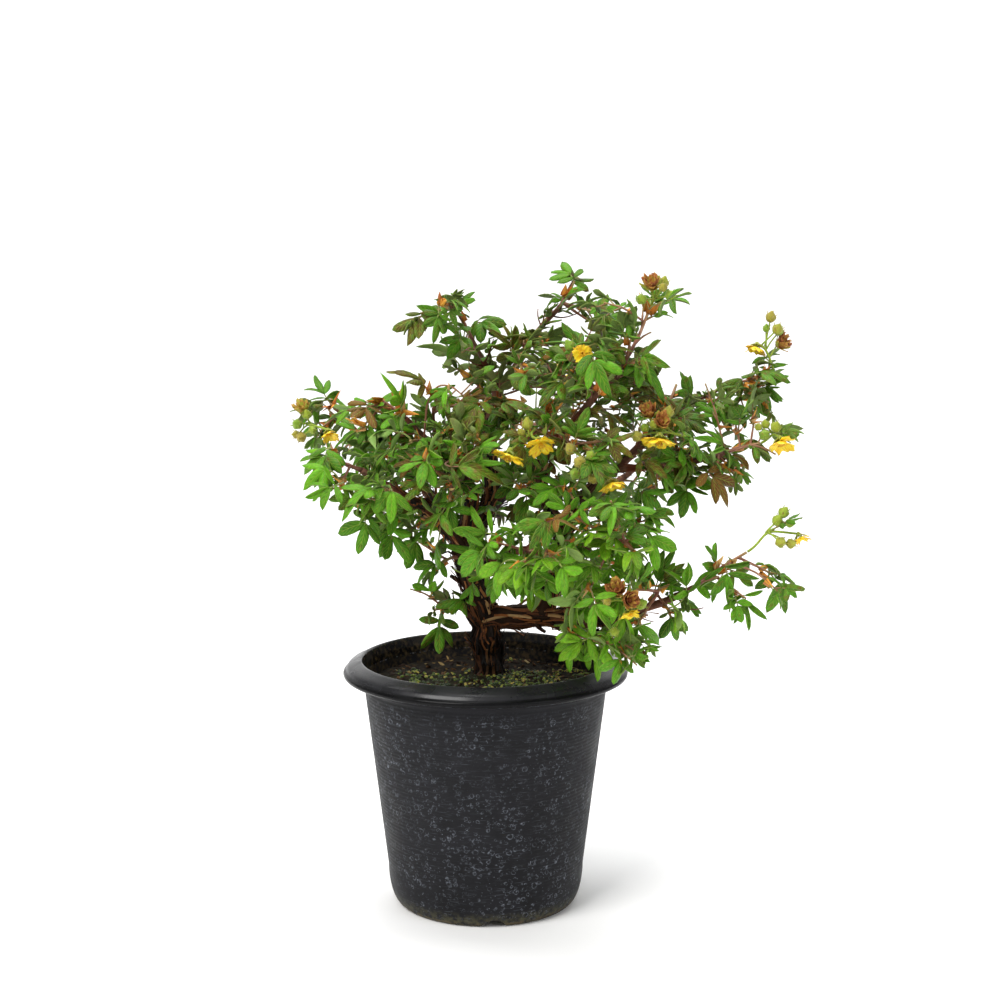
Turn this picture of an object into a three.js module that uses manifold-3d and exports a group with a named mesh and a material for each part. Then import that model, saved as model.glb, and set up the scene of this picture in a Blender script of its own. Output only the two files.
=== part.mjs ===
// A potted shrubby cinquefoil: an old, low, spreading bush with leaves of five leaflets and
// yellow flowers, in a round black nursery pot.
import * as THREE from 'three';
import { mergeVertices } from 'three/addons/utils/BufferGeometryUtils.js';
import Module from 'manifold-3d';

const wasm = await Module();
wasm.setup();

// Millimetres, +Z up. The bush's best side faces -Y. The origin is the middle of the pot's foot,
// on the surface that it stands on.
const SEAT_GAP = 0.3;
const UP = new THREE.Vector3(0, 0, 1);

const POT = {
  height: 131,
  rimRadius: 75,
  rimEdge: 124,
  lipRadius: 65.6,
  wallTop: 121.6,
  wallTopRadius: 64.5,
  heelHeight: 21,
  heelRadius: 51.9,
  footRadius: 45,
  footWidth: 4,
  footHeight: 3,
  padRadius: 14,
  wall: 1.6,
  floor: 2,
  notches: 3,
  notchRadius: 7,
  notchHeight: 4.5,
  notchTurn: -84.5,
  drains: 4,
  drainRadius: 4,
  drainReach: 27,
  facets: 26,
};

const SOIL = { top: 116.6, mound: 1.6, roughness: 0.8, facets: 24 };

const TRUNK = { x: 1, y: 14, foot: 97, radius: 8.6 };

// A leaf is flat in plan: +Y runs from the end of its stalk to the tip of its end leaflet.
const LEAF = {
  length: 20,
  rachis: 3.5,
  halfThickness: 0.6,
  stalkHalfWidth: 0.55,
  rootHalfWidth: 0.4,
  stalk: 10,
  arch: 0.009,
  fold: 0.22,
  endLeaflet: { length: 16.5, width: 5.6 },
  upperPair: { length: 15, width: 5.4, turn: 44 },
  lowerPair: { length: 13, width: 4.8, turn: 78 },
};

const FLOWER = {
  petals: 5,
  petalLength: 8.2,
  petalWidth: 7.6,
  sepalLength: 5.6,
  cup: 6.2,
  crumple: 1.6,
  halfThickness: 0.6,
  budRadius: 2.5,
  seat: 1.75,
};
const HEAD_STALK = {
  main: { startRadius: 1.05, endRadius: 0.95, sides: 3 },
  side: { startRadius: 0.5, endRadius: 0.6, sides: 3 },
};
const DRIED = {
  outerLength: 5.6,
  outerCup: 6.4,
  innerLength: 4.4,
  innerCup: 7,
  innerRise: 1.5,
  peg: { startRadius: 1.2, endRadius: 1.2, sides: 3 },
};

// How much room a leaf leaves to what was there before it.
const ROOM = { twigStart: 1.5, twigEnd: 1.3, wood: 0.7, stalk: 1.1, bloom: 8.4, dried: 6.4, bud: 3.6 };

const finish = (name, colour, roughness) =>
  new THREE.MeshStandardMaterial({ name, color: colour, roughness, metalness: 0 });

const BLACK_PLASTIC = finish('moulded_polypropylene', '#2b2c2e', 0.55);
const POTTING_SOIL = finish('mossy_bark_soil', '#2a2416', 0.95);
const OLD_BARK = finish('shaggy_bark', '#4a3426', 0.9);
const GREEN_LEAF = finish('cinquefoil_leaf', '#4b7232', 0.6);
const GREEN_STALK = finish('flower_stalk', '#8a9a45', 0.65);
const YELLOW_PETAL = finish('yellow_petal', '#e8c520', 0.55);
const DRIED_PETAL = finish('dried_flower', '#7a4a28', 0.85);

// The minimal-standard random sequence, so that each build places the same leaves.
let seed = 20107;
function random() {
  seed = (seed * 16807) % 2147483647;
  return seed / 2147483647;
}

const vector = (point) => new THREE.Vector3(...point);

// The closed solid of a three.js geometry: shared points merged, faces of no area dropped.
function solid(geometry) {
  const bare = geometry.clone();
  bare.deleteAttribute('normal');
  bare.deleteAttribute('uv');
  const merged = mergeVertices(bare, 1e-4);
  const corners = merged.index.array;
  const triVerts = [];
  for (let i = 0; i < corners.length; i += 3) {
    const [a, b, c] = [corners[i], corners[i + 1], corners[i + 2]];
    if (a !== b && b !== c && c !== a) {
      triVerts.push(a, b, c);
    }
  }
  return new wasm.Manifold(new wasm.Mesh({
    numProp: 3,
    vertProperties: merged.attributes.position.array,
    triVerts: new Uint32Array(triVerts),
  }));
}

const fuse = (solids) => solids.reduce((whole, next) => whole.add(next));

// The largest body of a solid: what a cut leaves loose is dropped.
function largest(whole) {
  const bodies = whole.decompose();
  return bodies.reduce((best, body) => (body.volume() > best.volume() ? body : best));
}

function piece(name, whole, material) {
  const tidy = whole.simplify(0.004);
  const mesh = tidy.getMesh();
  const geometry = new THREE.BufferGeometry();
  geometry.setAttribute('position', new THREE.BufferAttribute(mesh.vertProperties, 3));
  geometry.setIndex(new THREE.BufferAttribute(mesh.triVerts, 1));
  geometry.computeVertexNormals();
  const object = new THREE.Mesh(geometry, material);
  object.name = name;
  return object;
}

// A rod is a list of points. A share of 0 is its start and a share of 1 its end.
function rodPoint(rod, share) {
  const reach = share * (rod.length - 1);
  const i = Math.min(Math.floor(reach), rod.length - 2);
  return rod[i].clone().lerp(rod[i + 1], reach - i);
}

function rodHeading(rod, share) {
  const i = Math.min(Math.floor(share * (rod.length - 1)), rod.length - 2);
  return rod[i + 1].clone().sub(rod[i]).normalize();
}

// A closed tube round a rod: a cylinder with a row at each point of the rod. Its radius runs
// evenly from one end to the other.
function tube(rod, { startRadius, endRadius, sides }) {
  const last = rod.length - 1;
  const geometry = new THREE.CylinderGeometry(1, 1, 1, sides, last);
  const place = geometry.attributes.position;
  const chord = rod[last].clone().sub(rod[0]);
  const side = Math.abs(chord.x) < Math.abs(chord.y) ? vector([1, 0, 0]) : vector([0, 1, 0]);
  side.cross(chord);
  for (let i = 0; i < place.count; i += 1) {
    const along = place.getY(i) + 0.5;
    const row = Math.round(along * last);
    const radius = startRadius + (endRadius - startRadius) * along;
    const heading = rod[Math.min(row + 1, last)].clone().sub(rod[Math.max(row - 1, 0)]).normalize();
    const across = side.clone().addScaledVector(heading, -side.dot(heading)).normalize();
    const other = across.clone().cross(heading);
    const point = rod[row].clone();
    point.addScaledVector(across, place.getX(i) * radius);
    point.addScaledVector(other, place.getZ(i) * radius);
    place.setXYZ(i, point.x, point.y, point.z);
  }
  return solid(geometry);
}

// Pot: one moulding, turned from its profile, with drains through the floor and notches in the foot.
function potWallRadius(height) {
  const rise = (height - POT.heelHeight) / (POT.wallTop - POT.heelHeight);
  return POT.heelRadius + rise * (POT.wallTopRadius - POT.heelRadius);
}

// The radius inside the pot, at the lip and the heel and evenly between them.
function potRoomRadius(height) {
  const heel = POT.heelRadius - POT.wall;
  const rise = (height - POT.heelHeight) / (POT.height - 3 - POT.heelHeight);
  return heel + rise * (POT.lipRadius - 1.2 - heel);
}

function turned(profile, facets) {
  const points = profile.map(([radius, height]) => new THREE.Vector2(radius, height));
  return new THREE.LatheGeometry(points, facets).rotateX(Math.PI / 2);
}

function pot() {
  const { footRadius, footHeight, footWidth, heelHeight, heelRadius, wall, wallTop, height, lipRadius } = POT;
  const insideFloor = footHeight + POT.floor;
  const profile = [
    [0, 0],
    [POT.padRadius, 0],
    [POT.padRadius + 1, footHeight],
    [footRadius - footWidth, footHeight],
    [footRadius - footWidth + 0.5, 0],
    [footRadius, 0],
    [footRadius + 3.6, heelHeight * 0.2],
    [footRadius + 5.7, heelHeight * 0.52],
    [heelRadius, heelHeight],
    [potWallRadius(wallTop - 4), wallTop - 4],
    [potWallRadius(wallTop) + 0.9, wallTop - 3.2],
    [POT.rimRadius - 1, POT.rimEdge - 2],
    [POT.rimRadius, POT.rimEdge],
    [POT.rimRadius - 2.4, POT.rimEdge + 3.6],
    [lipRadius + 2, height],
    [lipRadius, height],
    [lipRadius - 1.2, height - 3],
    [heelRadius - wall, heelHeight],
    [footRadius - 2, insideFloor],
    [0, insideFloor],
  ];
  let whole = solid(turned(profile, POT.facets));
  for (let i = 0; i < POT.notches; i += 1) {
    const turn = THREE.MathUtils.degToRad(POT.notchTurn + (i * 360) / POT.notches);
    const notch = new THREE.CylinderGeometry(POT.notchRadius, POT.notchRadius, 2 * footWidth, 12);
    notch.translate(0, footRadius - 2, 0);
    notch.rotateZ(turn - Math.PI / 2);
    notch.translate(0, 0, POT.notchHeight - POT.notchRadius);
    whole = whole.subtract(solid(notch));
  }
  for (let i = 0; i < POT.drains; i += 1) {
    const turn = THREE.MathUtils.degToRad(45 + (i * 360) / POT.drains);
    const drain = new THREE.CylinderGeometry(POT.drainRadius, POT.drainRadius, 4 * footHeight, 8);
    drain.rotateX(Math.PI / 2);
    drain.translate(POT.drainReach * Math.cos(turn), POT.drainReach * Math.sin(turn), footHeight);
    whole = whole.subtract(solid(drain));
  }
  return piece('pot', whole, BLACK_PLASTIC);
}

// Soil: fills the pot to a finger's width under the lip, with a plain hole that the trunk stands in.
function soilHeight(x, y) {
  const reach = Math.hypot(x, y) / potRoomRadius(SOIL.top);
  const turn = Math.atan2(y, x);
  const lumps = Math.sin(3 * turn + 1) * reach + Math.sin(5 * turn - 6 * reach) * reach + Math.sin(9 * reach);
  return SOIL.top + SOIL.mound * (1 - reach) + (SOIL.roughness * lumps) / 2;
}

function soil() {
  const bottom = POT.footHeight + POT.floor + SEAT_GAP;
  const inside = (height) => potRoomRadius(height) - SEAT_GAP - 0.4;
  const profile = [
    [0, bottom],
    [POT.footRadius - 3, bottom],
    [inside(POT.heelHeight), POT.heelHeight],
    [inside(SOIL.top), SOIL.top],
    [inside(SOIL.top) * 0.78, SOIL.top],
    [inside(SOIL.top) * 0.54, SOIL.top],
    [inside(SOIL.top) * 0.3, SOIL.top],
    [0, SOIL.top],
  ];
  const geometry = turned(profile, SOIL.facets);
  const place = geometry.attributes.position;
  for (let i = 0; i < place.count; i += 1) {
    if (place.getZ(i) > SOIL.top - 1) {
      place.setZ(i, soilHeight(place.getX(i), place.getY(i)));
    }
  }
  const depth = 2 * (SOIL.top - TRUNK.foot);
  const sides = 12;
  const radius = (TRUNK.radius + SEAT_GAP) / Math.cos(Math.PI / sides);
  const hole = new THREE.CylinderGeometry(radius, radius, depth, sides);
  hole.rotateX(Math.PI / 2);
  hole.translate(TRUNK.x, TRUNK.y, TRUNK.foot - SEAT_GAP + depth / 2);
  return piece('soil', solid(geometry).subtract(solid(hole)), POTTING_SOIL);
}

// Old wood: the trunk and its limbs, one piece. Each limb lists its radius where it starts and
// where it ends, and then the points that its middle runs through.
const LIMBS = {
  trunk: [8.6, 5.4, [1, 14, 97], [1, 14, 119], [1, 13, 132], [0, 10, 147], [-4, 6, 162], [-8, 2, 176],
    [-12, -2, 190]],
  side_branch: [6, 4.4, [0, 9, 151], [14, 5, 153], [29, 0, 153], [42, -4, 153], [51, -12, 153]],
  second_trunk: [5.4, 3.4, [31, 0, 153], [34, 3, 165], [37, 4, 179], [40, 2, 193], [44, 0, 205],
    [48, 0, 214]],
  left_low_limb: [4.2, 1.6, [-12, -2, 190], [-19, -8, 201], [-29, -16, 213], [-40, -24, 219],
    [-51, -30, 227], [-62, -34, 235]],
  left_mid_limb: [4, 1.5, [-12, -2, 190], [-9, 0, 204], [-6, 2, 218], [-14, -2, 229], [-23, -6, 239],
    [-31, -10, 248], [-41, -14, 259]],
  left_back_limb: [3.6, 1.5, [-12, -2, 190], [-19, 20, 201], [-33, 38, 215], [-47, 50, 228],
    [-63, 56, 237]],
  centre_limb: [4.4, 2.2, [-12, -2, 190], [-3, 12, 202], [4, 20, 217], [2, 24, 236], [0, 24, 252],
    [6, 22, 266], [9, 20, 275]],
  upper_left_limb: [2, 1.4, [6, 22, 266], [3, 20, 279], [-1, 18, 286]],
  top_limb: [2.2, 1.3, [9, 20, 273], [15, 24, 281], [22, 28, 293], [31, 32, 305], [39, 34, 313]],
  back_limb: [3.4, 1.5, [-4, 10, 200], [8, 45, 211], [19, 66, 228], [30, 76, 243]],
  centre_right_limb: [3.4, 1.5, [40, 2, 193], [32, -8, 213], [27, -14, 231], [32, -18, 245],
    [45, -24, 258], [57, -28, 274], [66, -28, 281]],
  right_mid_limb: [3.2, 1.4, [48, 0, 212], [57, 8, 221], [68, 14, 229], [81, 18, 240], [93, 22, 250],
    [105, 24, 260], [113, 24, 265]],
  right_limb: [2.2, 1.3, [68, 14, 229], [86, 0, 232], [101, -10, 235], [115, -16, 239]],
  right_back_limb: [3, 1.4, [44, 0, 205], [57, 35, 210], [75, 60, 218], [91, 74, 229]],
  right_low_limb: [3.4, 1.6, [49, -10, 153], [62, -24, 156], [74, -32, 162], [90, -38, 168],
    [97, -40, 172], [104, -42, 176]],
  front_limb: [3, 1.4, [-8, 2, 176], [4, -25, 188], [15, -48, 196], [27, -66, 201]],
  front_right_limb: [3, 1.4, [37, 4, 179], [47, -28, 192], [57, -55, 203], [65, -72, 211]],
  low_front_limb: [2.4, 1.4, [49, -10, 153], [54, -34, 153], [57, -50, 151]],
  low_back_limb: [2.6, 1.3, [34, 3, 165], [46, 40, 165], [58, 70, 168]],
  low_left_limb: [1.8, 1, [-3, 9, 148], [-13, 2, 157], [-21, -3, 161]],
};

const limbRod = (name) => LIMBS[name].slice(2).map(vector);

const limbSides = (radius) => {
  if (radius > 5) {
    return 8;
  }
  return radius > 3 ? 5 : 4;
};

// The old wood, each limb thicker by a margin all round.
function oldWood(margin) {
  const limbs = Object.entries(LIMBS).map(([name, [start, end]]) => {
    const rod = limbRod(name);
    rod[rod.length - 1].addScaledVector(rodHeading(rod, 1), margin);
    return tube(rod, { startRadius: start + margin, endRadius: end + margin, sides: limbSides(start) });
  });
  return fuse(limbs);
}

// Leafy sprays. Each grows from a limb, at a share of its length. The first tip ends the main twig
// and each other tip ends a side twig. A leaf lists the end of its stalk, then the place of its
// tip across and up, as seen from the front: what that lacks of the true length leans out of the
// bush. "more" counts the leaves that the growing rule adds.
const SPRAYS = {
  left_high: {
    from: ['left_back_limb', 1],
    tips: [[-84, 44, 261], [-76, 60, 246], [-87, 30, 250]],
    leaves: [[-86, 44, 264, -93, 276], [-84, 46, 263, -72, 261], [-89, 38, 262, -98, 257]],
  },
  left_hang: {
    from: ['left_low_limb', 1],
    tips: [[-79, -38, 240], [-72, -48, 228], [-78, -26, 247]],
    leaves: [[-79, -40, 246, -82, 232], [-82, -30, 241, -91, 239], [-78, -44, 238, -92, 232],
      [-73, -52, 231, -88, 226]],
  },
  left_under: {
    from: ['left_low_limb', 0.72],
    tips: [[-66, -42, 219], [-54, -56, 223], [-45, -62, 228]],
    leaves: [[-55, -58, 227, -58, 213], [-59, -46, 210, -66, 198], [-45, -64, 229, -48, 216]],
  },
  left_lower: {
    from: ['left_low_limb', 0.45],
    tips: [[-55, -20, 205], [-47, -32, 204]],
    leaves: [[-47, -34, 205, -47, 188], [-55, -18, 207, -63, 205]],
  },
  left_foot: {
    from: ['trunk', 0.93],
    tips: [[-22, -12, 184], [-34, -4, 193]],
    leaves: [[-23, -12, 185, -39, 178], [-36, -4, 193, -47, 179]],
  },
  low_sprig: {
    from: ['low_left_limb', 1],
    tips: [[-23, -6, 158]],
    leaves: [[-24, -6, 152, -24, 136], [-12, 0, 164, -21, 162]],
  },
  left_mid: {
    from: ['left_mid_limb', 1],
    tips: [[-54, -16, 269], [-42, -22, 264], [-62, -32, 256]],
    leaves: [[-42, -22, 266, -43, 279], [-55, -14, 267, -42, 260], [-60, -20, 266, -65, 259]],
  },
  left_arch: {
    from: ['left_mid_limb', 0.72],
    tips: [[-24, -12, 274], [-37, -44, 251], [-29, -54, 241]],
    leaves: [[-23, -12, 273, -14, 260], [-29, -56, 242, -34, 233], [-30, -52, 230, -41, 228]],
  },
  left_inner: {
    from: ['left_mid_limb', 0.45],
    tips: [[-17, -50, 222], [-15, -48, 244], [-3, -32, 254]],
    leaves: [[-16, -50, 241, 4, 244], [-4, -34, 268, -15, 256], [-17, -50, 218, -9, 204]],
  },
  upper_left: {
    from: ['upper_left_limb', 1],
    tips: [[-19, 10, 319], [-33, -4, 312], [-12, 26, 296]],
    leaves: [[-20, 2, 309, -33, 317], [-34, -6, 310, -43, 297], [-15, 12, 316, -3, 318],
      [-4, 20, 307, 7, 303], [-11, 24, 299, -20, 288]],
  },
  centre: {
    from: ['centre_limb', 0.75],
    tips: [[-11, 38, 277], [-18, 44, 259], [-4, 50, 247], [20, -22, 268]],
    leaves: [[-2, 36, 282, -13, 281], [10, -20, 268, 21, 266], [8, -14, 262, 12, 253]],
    more: 1,
  },
  top: {
    from: ['top_limb', 1],
    tips: [[47, 36, 327], [60, 24, 311], [64, 34, 300]],
    leaves: [[47, 36, 329, 35, 339], [47, 34, 328, 56, 334], [40, 38, 318, 32, 323],
      [57, 24, 312, 73, 315], [64, 28, 308, 82, 306], [65, 36, 300, 73, 293]],
  },
  top_inner: {
    from: ['top_limb', 0.5],
    tips: [[13, 10, 292], [31, 6, 295], [19, -6, 284]],
    leaves: [[14, 8, 291, 9, 307], [25, 4, 298, 14, 304], [15, -6, 282, 25, 275]],
  },
  centre_right_tip: {
    from: ['centre_right_limb', 1],
    tips: [[83, -18, 315], [77, -36, 289], [73, -30, 301]],
    leaves: [[90, -18, 320, 103, 322], [78, -36, 292, 91, 292], [78, -40, 288, 90, 282]],
  },
  centre_right_mid: {
    from: ['centre_right_limb', 0.78],
    tips: [[50, -36, 296], [56, -54, 276], [37, -42, 287]],
    leaves: [[52, -46, 295, 58, 280], [43, -38, 295, 26, 293], [38, -44, 280, 25, 275]],
  },
  centre_right_low: {
    from: ['centre_right_limb', 0.5],
    tips: [[44, -56, 249], [25, -48, 257], [59, -62, 253]],
    leaves: [[59, -64, 254, 71, 248]],
  },
  right_high: {
    from: ['right_mid_limb', 1],
    tips: [[135, 20, 275], [147, 12, 279], [119, 4, 265], [145, 30, 266]],
    leaves: [[107, 10, 268, 102, 280], [134, 14, 277, 123, 268], [122, 0, 266, 129, 252],
      [140, 18, 281, 149, 284], [147, 12, 273, 159, 279], [147, 18, 272, 149, 253]],
  },
  right_shoulder: {
    from: ['right_mid_limb', 0.6],
    tips: [[102, 36, 272], [87, -6, 272], [103, -4, 255]],
    leaves: [[99, -4, 259, 112, 257], [90, -8, 271, 88, 261], [109, 36, 266, 117, 272]],
  },
  right_tip: {
    from: ['right_limb', 1],
    tips: [[140, -20, 247], [131, -8, 234], [117, -26, 232]],
    leaves: [[122, -16, 243, 115, 253], [138, -22, 248, 135, 231], [149, -14, 253, 161, 253],
      [112, -26, 234, 125, 221]],
  },
  right_inner: {
    from: ['right_limb', 0.35],
    tips: [[102, -36, 250], [107, -12, 226], [85, -26, 219], [79, -34, 238]],
    leaves: [[104, -14, 224, 101, 211], [80, -42, 240, 97, 233], [80, -32, 224, 96, 216],
      [83, -34, 215, 99, 207]],
  },
  right_low_tip: {
    from: ['right_low_limb', 1],
    tips: [[131, -44, 195], [130, -52, 173], [145, -40, 183], [117, -46, 183]],
    leaves: [[119, -52, 189, 126, 170], [116, -40, 188, 115, 200], [119, -44, 181, 112, 169],
      [146, -40, 181, 156, 166], [130, -52, 171, 132, 151]],
  },
  right_low: {
    from: ['right_low_limb', 0.5],
    tips: [[87, -50, 178], [93, -54, 166], [76, -66, 164], [72, -70, 181]],
    leaves: [[86, -50, 177, 90, 194], [93, -56, 164, 97, 148], [75, -68, 163, 86, 145],
      [101, -42, 176, 98, 193], [67, -74, 157, 76, 143]],
  },
  low_front: {
    from: ['low_front_limb', 1],
    tips: [[52, -64, 155], [40, -60, 157], [63, -58, 152]],
    leaves: [[51, -66, 156, 33, 149], [58, -70, 151, 52, 135], [43, -62, 152, 37, 138]],
  },
  front: {
    from: ['front_limb', 0.75],
    tips: [[34, -86, 199], [17, -82, 195], [29, -86, 218], [2, -62, 204]],
    leaves: [[0, -62, 201, -12, 185], [8, -74, 195, 1, 177], [15, -84, 194, 14, 182],
      [36, -90, 198, 43, 187], [29, -90, 218, 22, 206]],
  },
  front_right: {
    from: ['front_right_limb', 0.75],
    tips: [[74, -88, 201], [60, -92, 228], [75, -82, 213], [51, -80, 183], [42, -76, 219]],
    leaves: [[78, -84, 212, 85, 199], [68, -78, 211, 85, 213], [59, -96, 227, 54, 215],
      [52, -84, 182, 58, 169]],
  },
  back: {
    from: ['back_limb', 1],
    tips: [[41, 92, 258], [16, 96, 244], [36, 104, 231], [27, 60, 256]],
    leaves: [],
    more: 4,
  },
  back_left: {
    from: ['left_back_limb', 0.55],
    tips: [[-48, 74, 207], [-35, 84, 231], [-9, 92, 213], [-25, 60, 245]],
    leaves: [],
    more: 4,
  },
  back_right: {
    from: ['right_back_limb', 1],
    tips: [[110, 86, 243], [102, 98, 218], [76, 92, 201], [84, 60, 248]],
    leaves: [],
    more: 4,
  },
  low_back: {
    from: ['low_back_limb', 1],
    tips: [[72, 92, 167], [52, 84, 150], [87, 84, 180]],
    leaves: [],
    more: 2,
  },
};

const BUSH_MIDDLE = new THREE.Vector3(25, 5, 215);
const MAIN_TWIG = { startRadius: 1.2, endRadius: 1, sides: 4, follow: 0.1, rise: 0.04 };
const SIDE_TWIG = { startRadius: 0.8, endRadius: 0.8, sides: 3 };

// The main twig leaves its limb along it, then bends up to its tip. The side twigs are straight.
function sprayTwigs({ from, tips }) {
  const limb = limbRod(from[0]);
  const start = rodPoint(limb, from[1]);
  const tip = vector(tips[0]);
  const reach = start.distanceTo(tip);
  const bend = start.clone().lerp(tip, 0.5);
  bend.addScaledVector(rodHeading(limb, from[1]), MAIN_TWIG.follow * reach);
  bend.addScaledVector(UP, MAIN_TWIG.rise * reach);
  const main = [start, bend, tip];
  const chord = tip.clone().sub(start);
  const sides = tips.slice(1).map((place) => {
    const end = vector(place);
    const level = end.clone().sub(start).dot(chord) / chord.lengthSq();
    return [rodPoint(main, THREE.MathUtils.clamp(level - 0.3, 0.15, 0.8)), end];
  });
  return [main, ...sides];
}

// Beads mark the room that each piece takes up. A bead is a place, a radius and the piece it is in.
const beads = [];

function addBeads(owner, kind, rod, startRadius, endRadius) {
  const length = rod[0].distanceTo(rod[rod.length - 1]);
  const count = Math.ceil(length / 2);
  for (let i = 0; i <= count; i += 1) {
    const share = i / count;
    const radius = startRadius + (endRadius - startRadius) * share;
    const springs = kind === 'twig' && i > 0 && i < count;
    beads.push({ owner, kind, place: rodPoint(rod, share), radius, springs });
  }
}

// The leaf's own measures, and the basis that lays its plan in the bush.
function leafAt(hub, aim, face, base, leaflets, size) {
  const along = aim.clone().normalize();
  const normal = face.clone().addScaledVector(along, -face.dot(along)).normalize();
  const across = along.clone().cross(normal);
  return { hub, along, normal, across, base, leaflets, size };
}

const bladeHeight = (x, y, size) => LEAF.fold * Math.abs(x) * 0.5 - (LEAF.arch * (x * x + y * y)) / size;

function onLeaf(leaf, x, y, lift) {
  const height = bladeHeight(x, y, leaf.size) + lift;
  const point = leaf.hub.clone();
  point.addScaledVector(leaf.across, x);
  point.addScaledVector(leaf.along, y);
  point.addScaledVector(leaf.normal, height);
  return point;
}

// The leaflets of a leaf: where each starts on the rachis, its turn, its length and its width.
function leafletsOf(leaf) {
  const { rachis, endLeaflet, upperPair, lowerPair } = LEAF;
  const row = leaf.leaflets === 5 ? rachis : 0;
  const list = [{ start: row, turn: 0, ...endLeaflet }];
  for (const side of [1, -1]) {
    list.push({ start: row, ...upperPair, turn: side * upperPair.turn });
    if (leaf.leaflets === 5) {
      list.push({ start: 0, ...lowerPair, turn: side * lowerPair.turn });
    }
  }
  return list.map((leaflet) => ({
    ...leaflet,
    start: leaflet.start * leaf.size,
    turn: THREE.MathUtils.degToRad(leaflet.turn),
    length: leaflet.length * leaf.size,
    width: leaflet.width * leaf.size,
  }));
}

function leafletPoint(leaflet, share, off) {
  const reach = leaflet.length * share;
  const x = Math.sin(leaflet.turn) * reach + Math.cos(leaflet.turn) * off;
  const y = leaflet.start + Math.cos(leaflet.turn) * reach - Math.sin(leaflet.turn) * off;
  return [x, y];
}

const BLADE_BEADS = [[0.22, 1.9], [0.46, 2.5], [0.7, 2.4], [0.93, 1.5]];

function leafBeads(leaf) {
  const list = [];
  for (const leaflet of leafletsOf(leaf)) {
    for (const [share, radius] of BLADE_BEADS) {
      const [x, y] = leafletPoint(leaflet, share, 0);
      list.push({ kind: 'blade', place: onLeaf(leaf, x, y, 0), radius: radius * leaf.size });
    }
  }
  const length = leaf.base.distanceTo(leaf.hub);
  for (let reach = 3.5; reach < length; reach += 2.5) {
    list.push({ kind: 'stalk', place: leaf.base.clone().lerp(leaf.hub, reach / length), radius: 1 });
  }
  return list;
}

// A leaf may not touch another piece, and keeps mostly clear of the leaves and twigs of its own.
// Only its stalk may run along the twigs that it grows from.
const CLEAR = { others: 0.5, own: 0.9 };

function touchesPot(bead) {
  const reach = Math.hypot(bead.place.x, bead.place.y);
  const outside = reach > POT.rimRadius + 2 + bead.radius;
  const inside = reach < POT.lipRadius - 5 - bead.radius && bead.place.z > SOIL.top + 4 + bead.radius;
  return bead.place.z < POT.height + 2 + bead.radius && !outside && !inside;
}

function blocked(owner, candidate) {
  return candidate.some((bead) => touchesPot(bead) || beads.some((other) => {
    const own = other.owner === owner;
    if (own && bead.kind === 'stalk' && other.kind === 'twig') {
      return false;
    }
    const reach = bead.radius + other.radius;
    const needed = own ? CLEAR.own * reach : reach + CLEAR.others;
    return bead.place.distanceToSquared(other.place) < needed * needed;
  }));
}

// The place on the spray's twigs that a leaf's stalk springs from: about a stalk's length away
// and behind the leaf.
function stalkBase(owner, hub, aim) {
  let best = null;
  let least = Infinity;
  for (const bead of beads) {
    if (bead.owner === owner && bead.springs) {
      const back = bead.place.clone().sub(hub);
      const length = back.length();
      const turned = Math.max(0, back.dot(aim) / (length * aim.length()) + 0.2);
      const cost = Math.abs(length - LEAF.stalk) * (length > LEAF.stalk ? 1.4 : 1) + 7 * turned;
      if (cost < least) {
        least = cost;
        best = bead;
      }
    }
  }
  return best;
}

// Leaves seen from the front, where the photo of such a bush shows them. One that is in another
// piece's way is moved in depth, step by step, until it is clear.
const DEPTH_STEPS = [0, -3, 3, -6, 6, -9, 9, -13, 13, -17];

function placedLeaf(owner, [x, y, z, tipX, tipZ], order) {
  const seen = Math.hypot(tipX - x, tipZ - z);
  const whole = Math.max(seen * 1.02, LEAF.length * (0.78 + 0.2 * random()));
  const lean = Math.sqrt(whole * whole - seen * seen) * (y > 30 ? 1 : -1);
  const face = new THREE.Vector3(random() - 0.5, -0.75 - 0.4 * random(), 0.9);
  const leaflets = order % 3 === 0 ? 5 : 3;
  for (const shrink of [1, 0.86]) {
    for (const step of DEPTH_STEPS) {
      const hub = new THREE.Vector3(x, y + step, z);
      const aim = new THREE.Vector3(tipX - x, lean, tipZ - z);
      const spring = stalkBase(owner, hub, aim);
      const leaf = leafAt(hub, aim, face, spring.place, leaflets, (shrink * whole) / LEAF.length);
      const room = leafBeads(leaf);
      if (!blocked(owner, room)) {
        spring.springs = false;
        beads.push(...room.map((bead) => ({ ...bead, owner })));
        return leaf;
      }
    }
  }
  return null;
}

// Leaves by the growing rule: turn by turn round the twigs, from their tips back.
const GROWING = { turn: 137.5, tries: 14, shares: [0.95, 0.72, 0.5, 0.84, 0.35, 0.62] };

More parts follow.
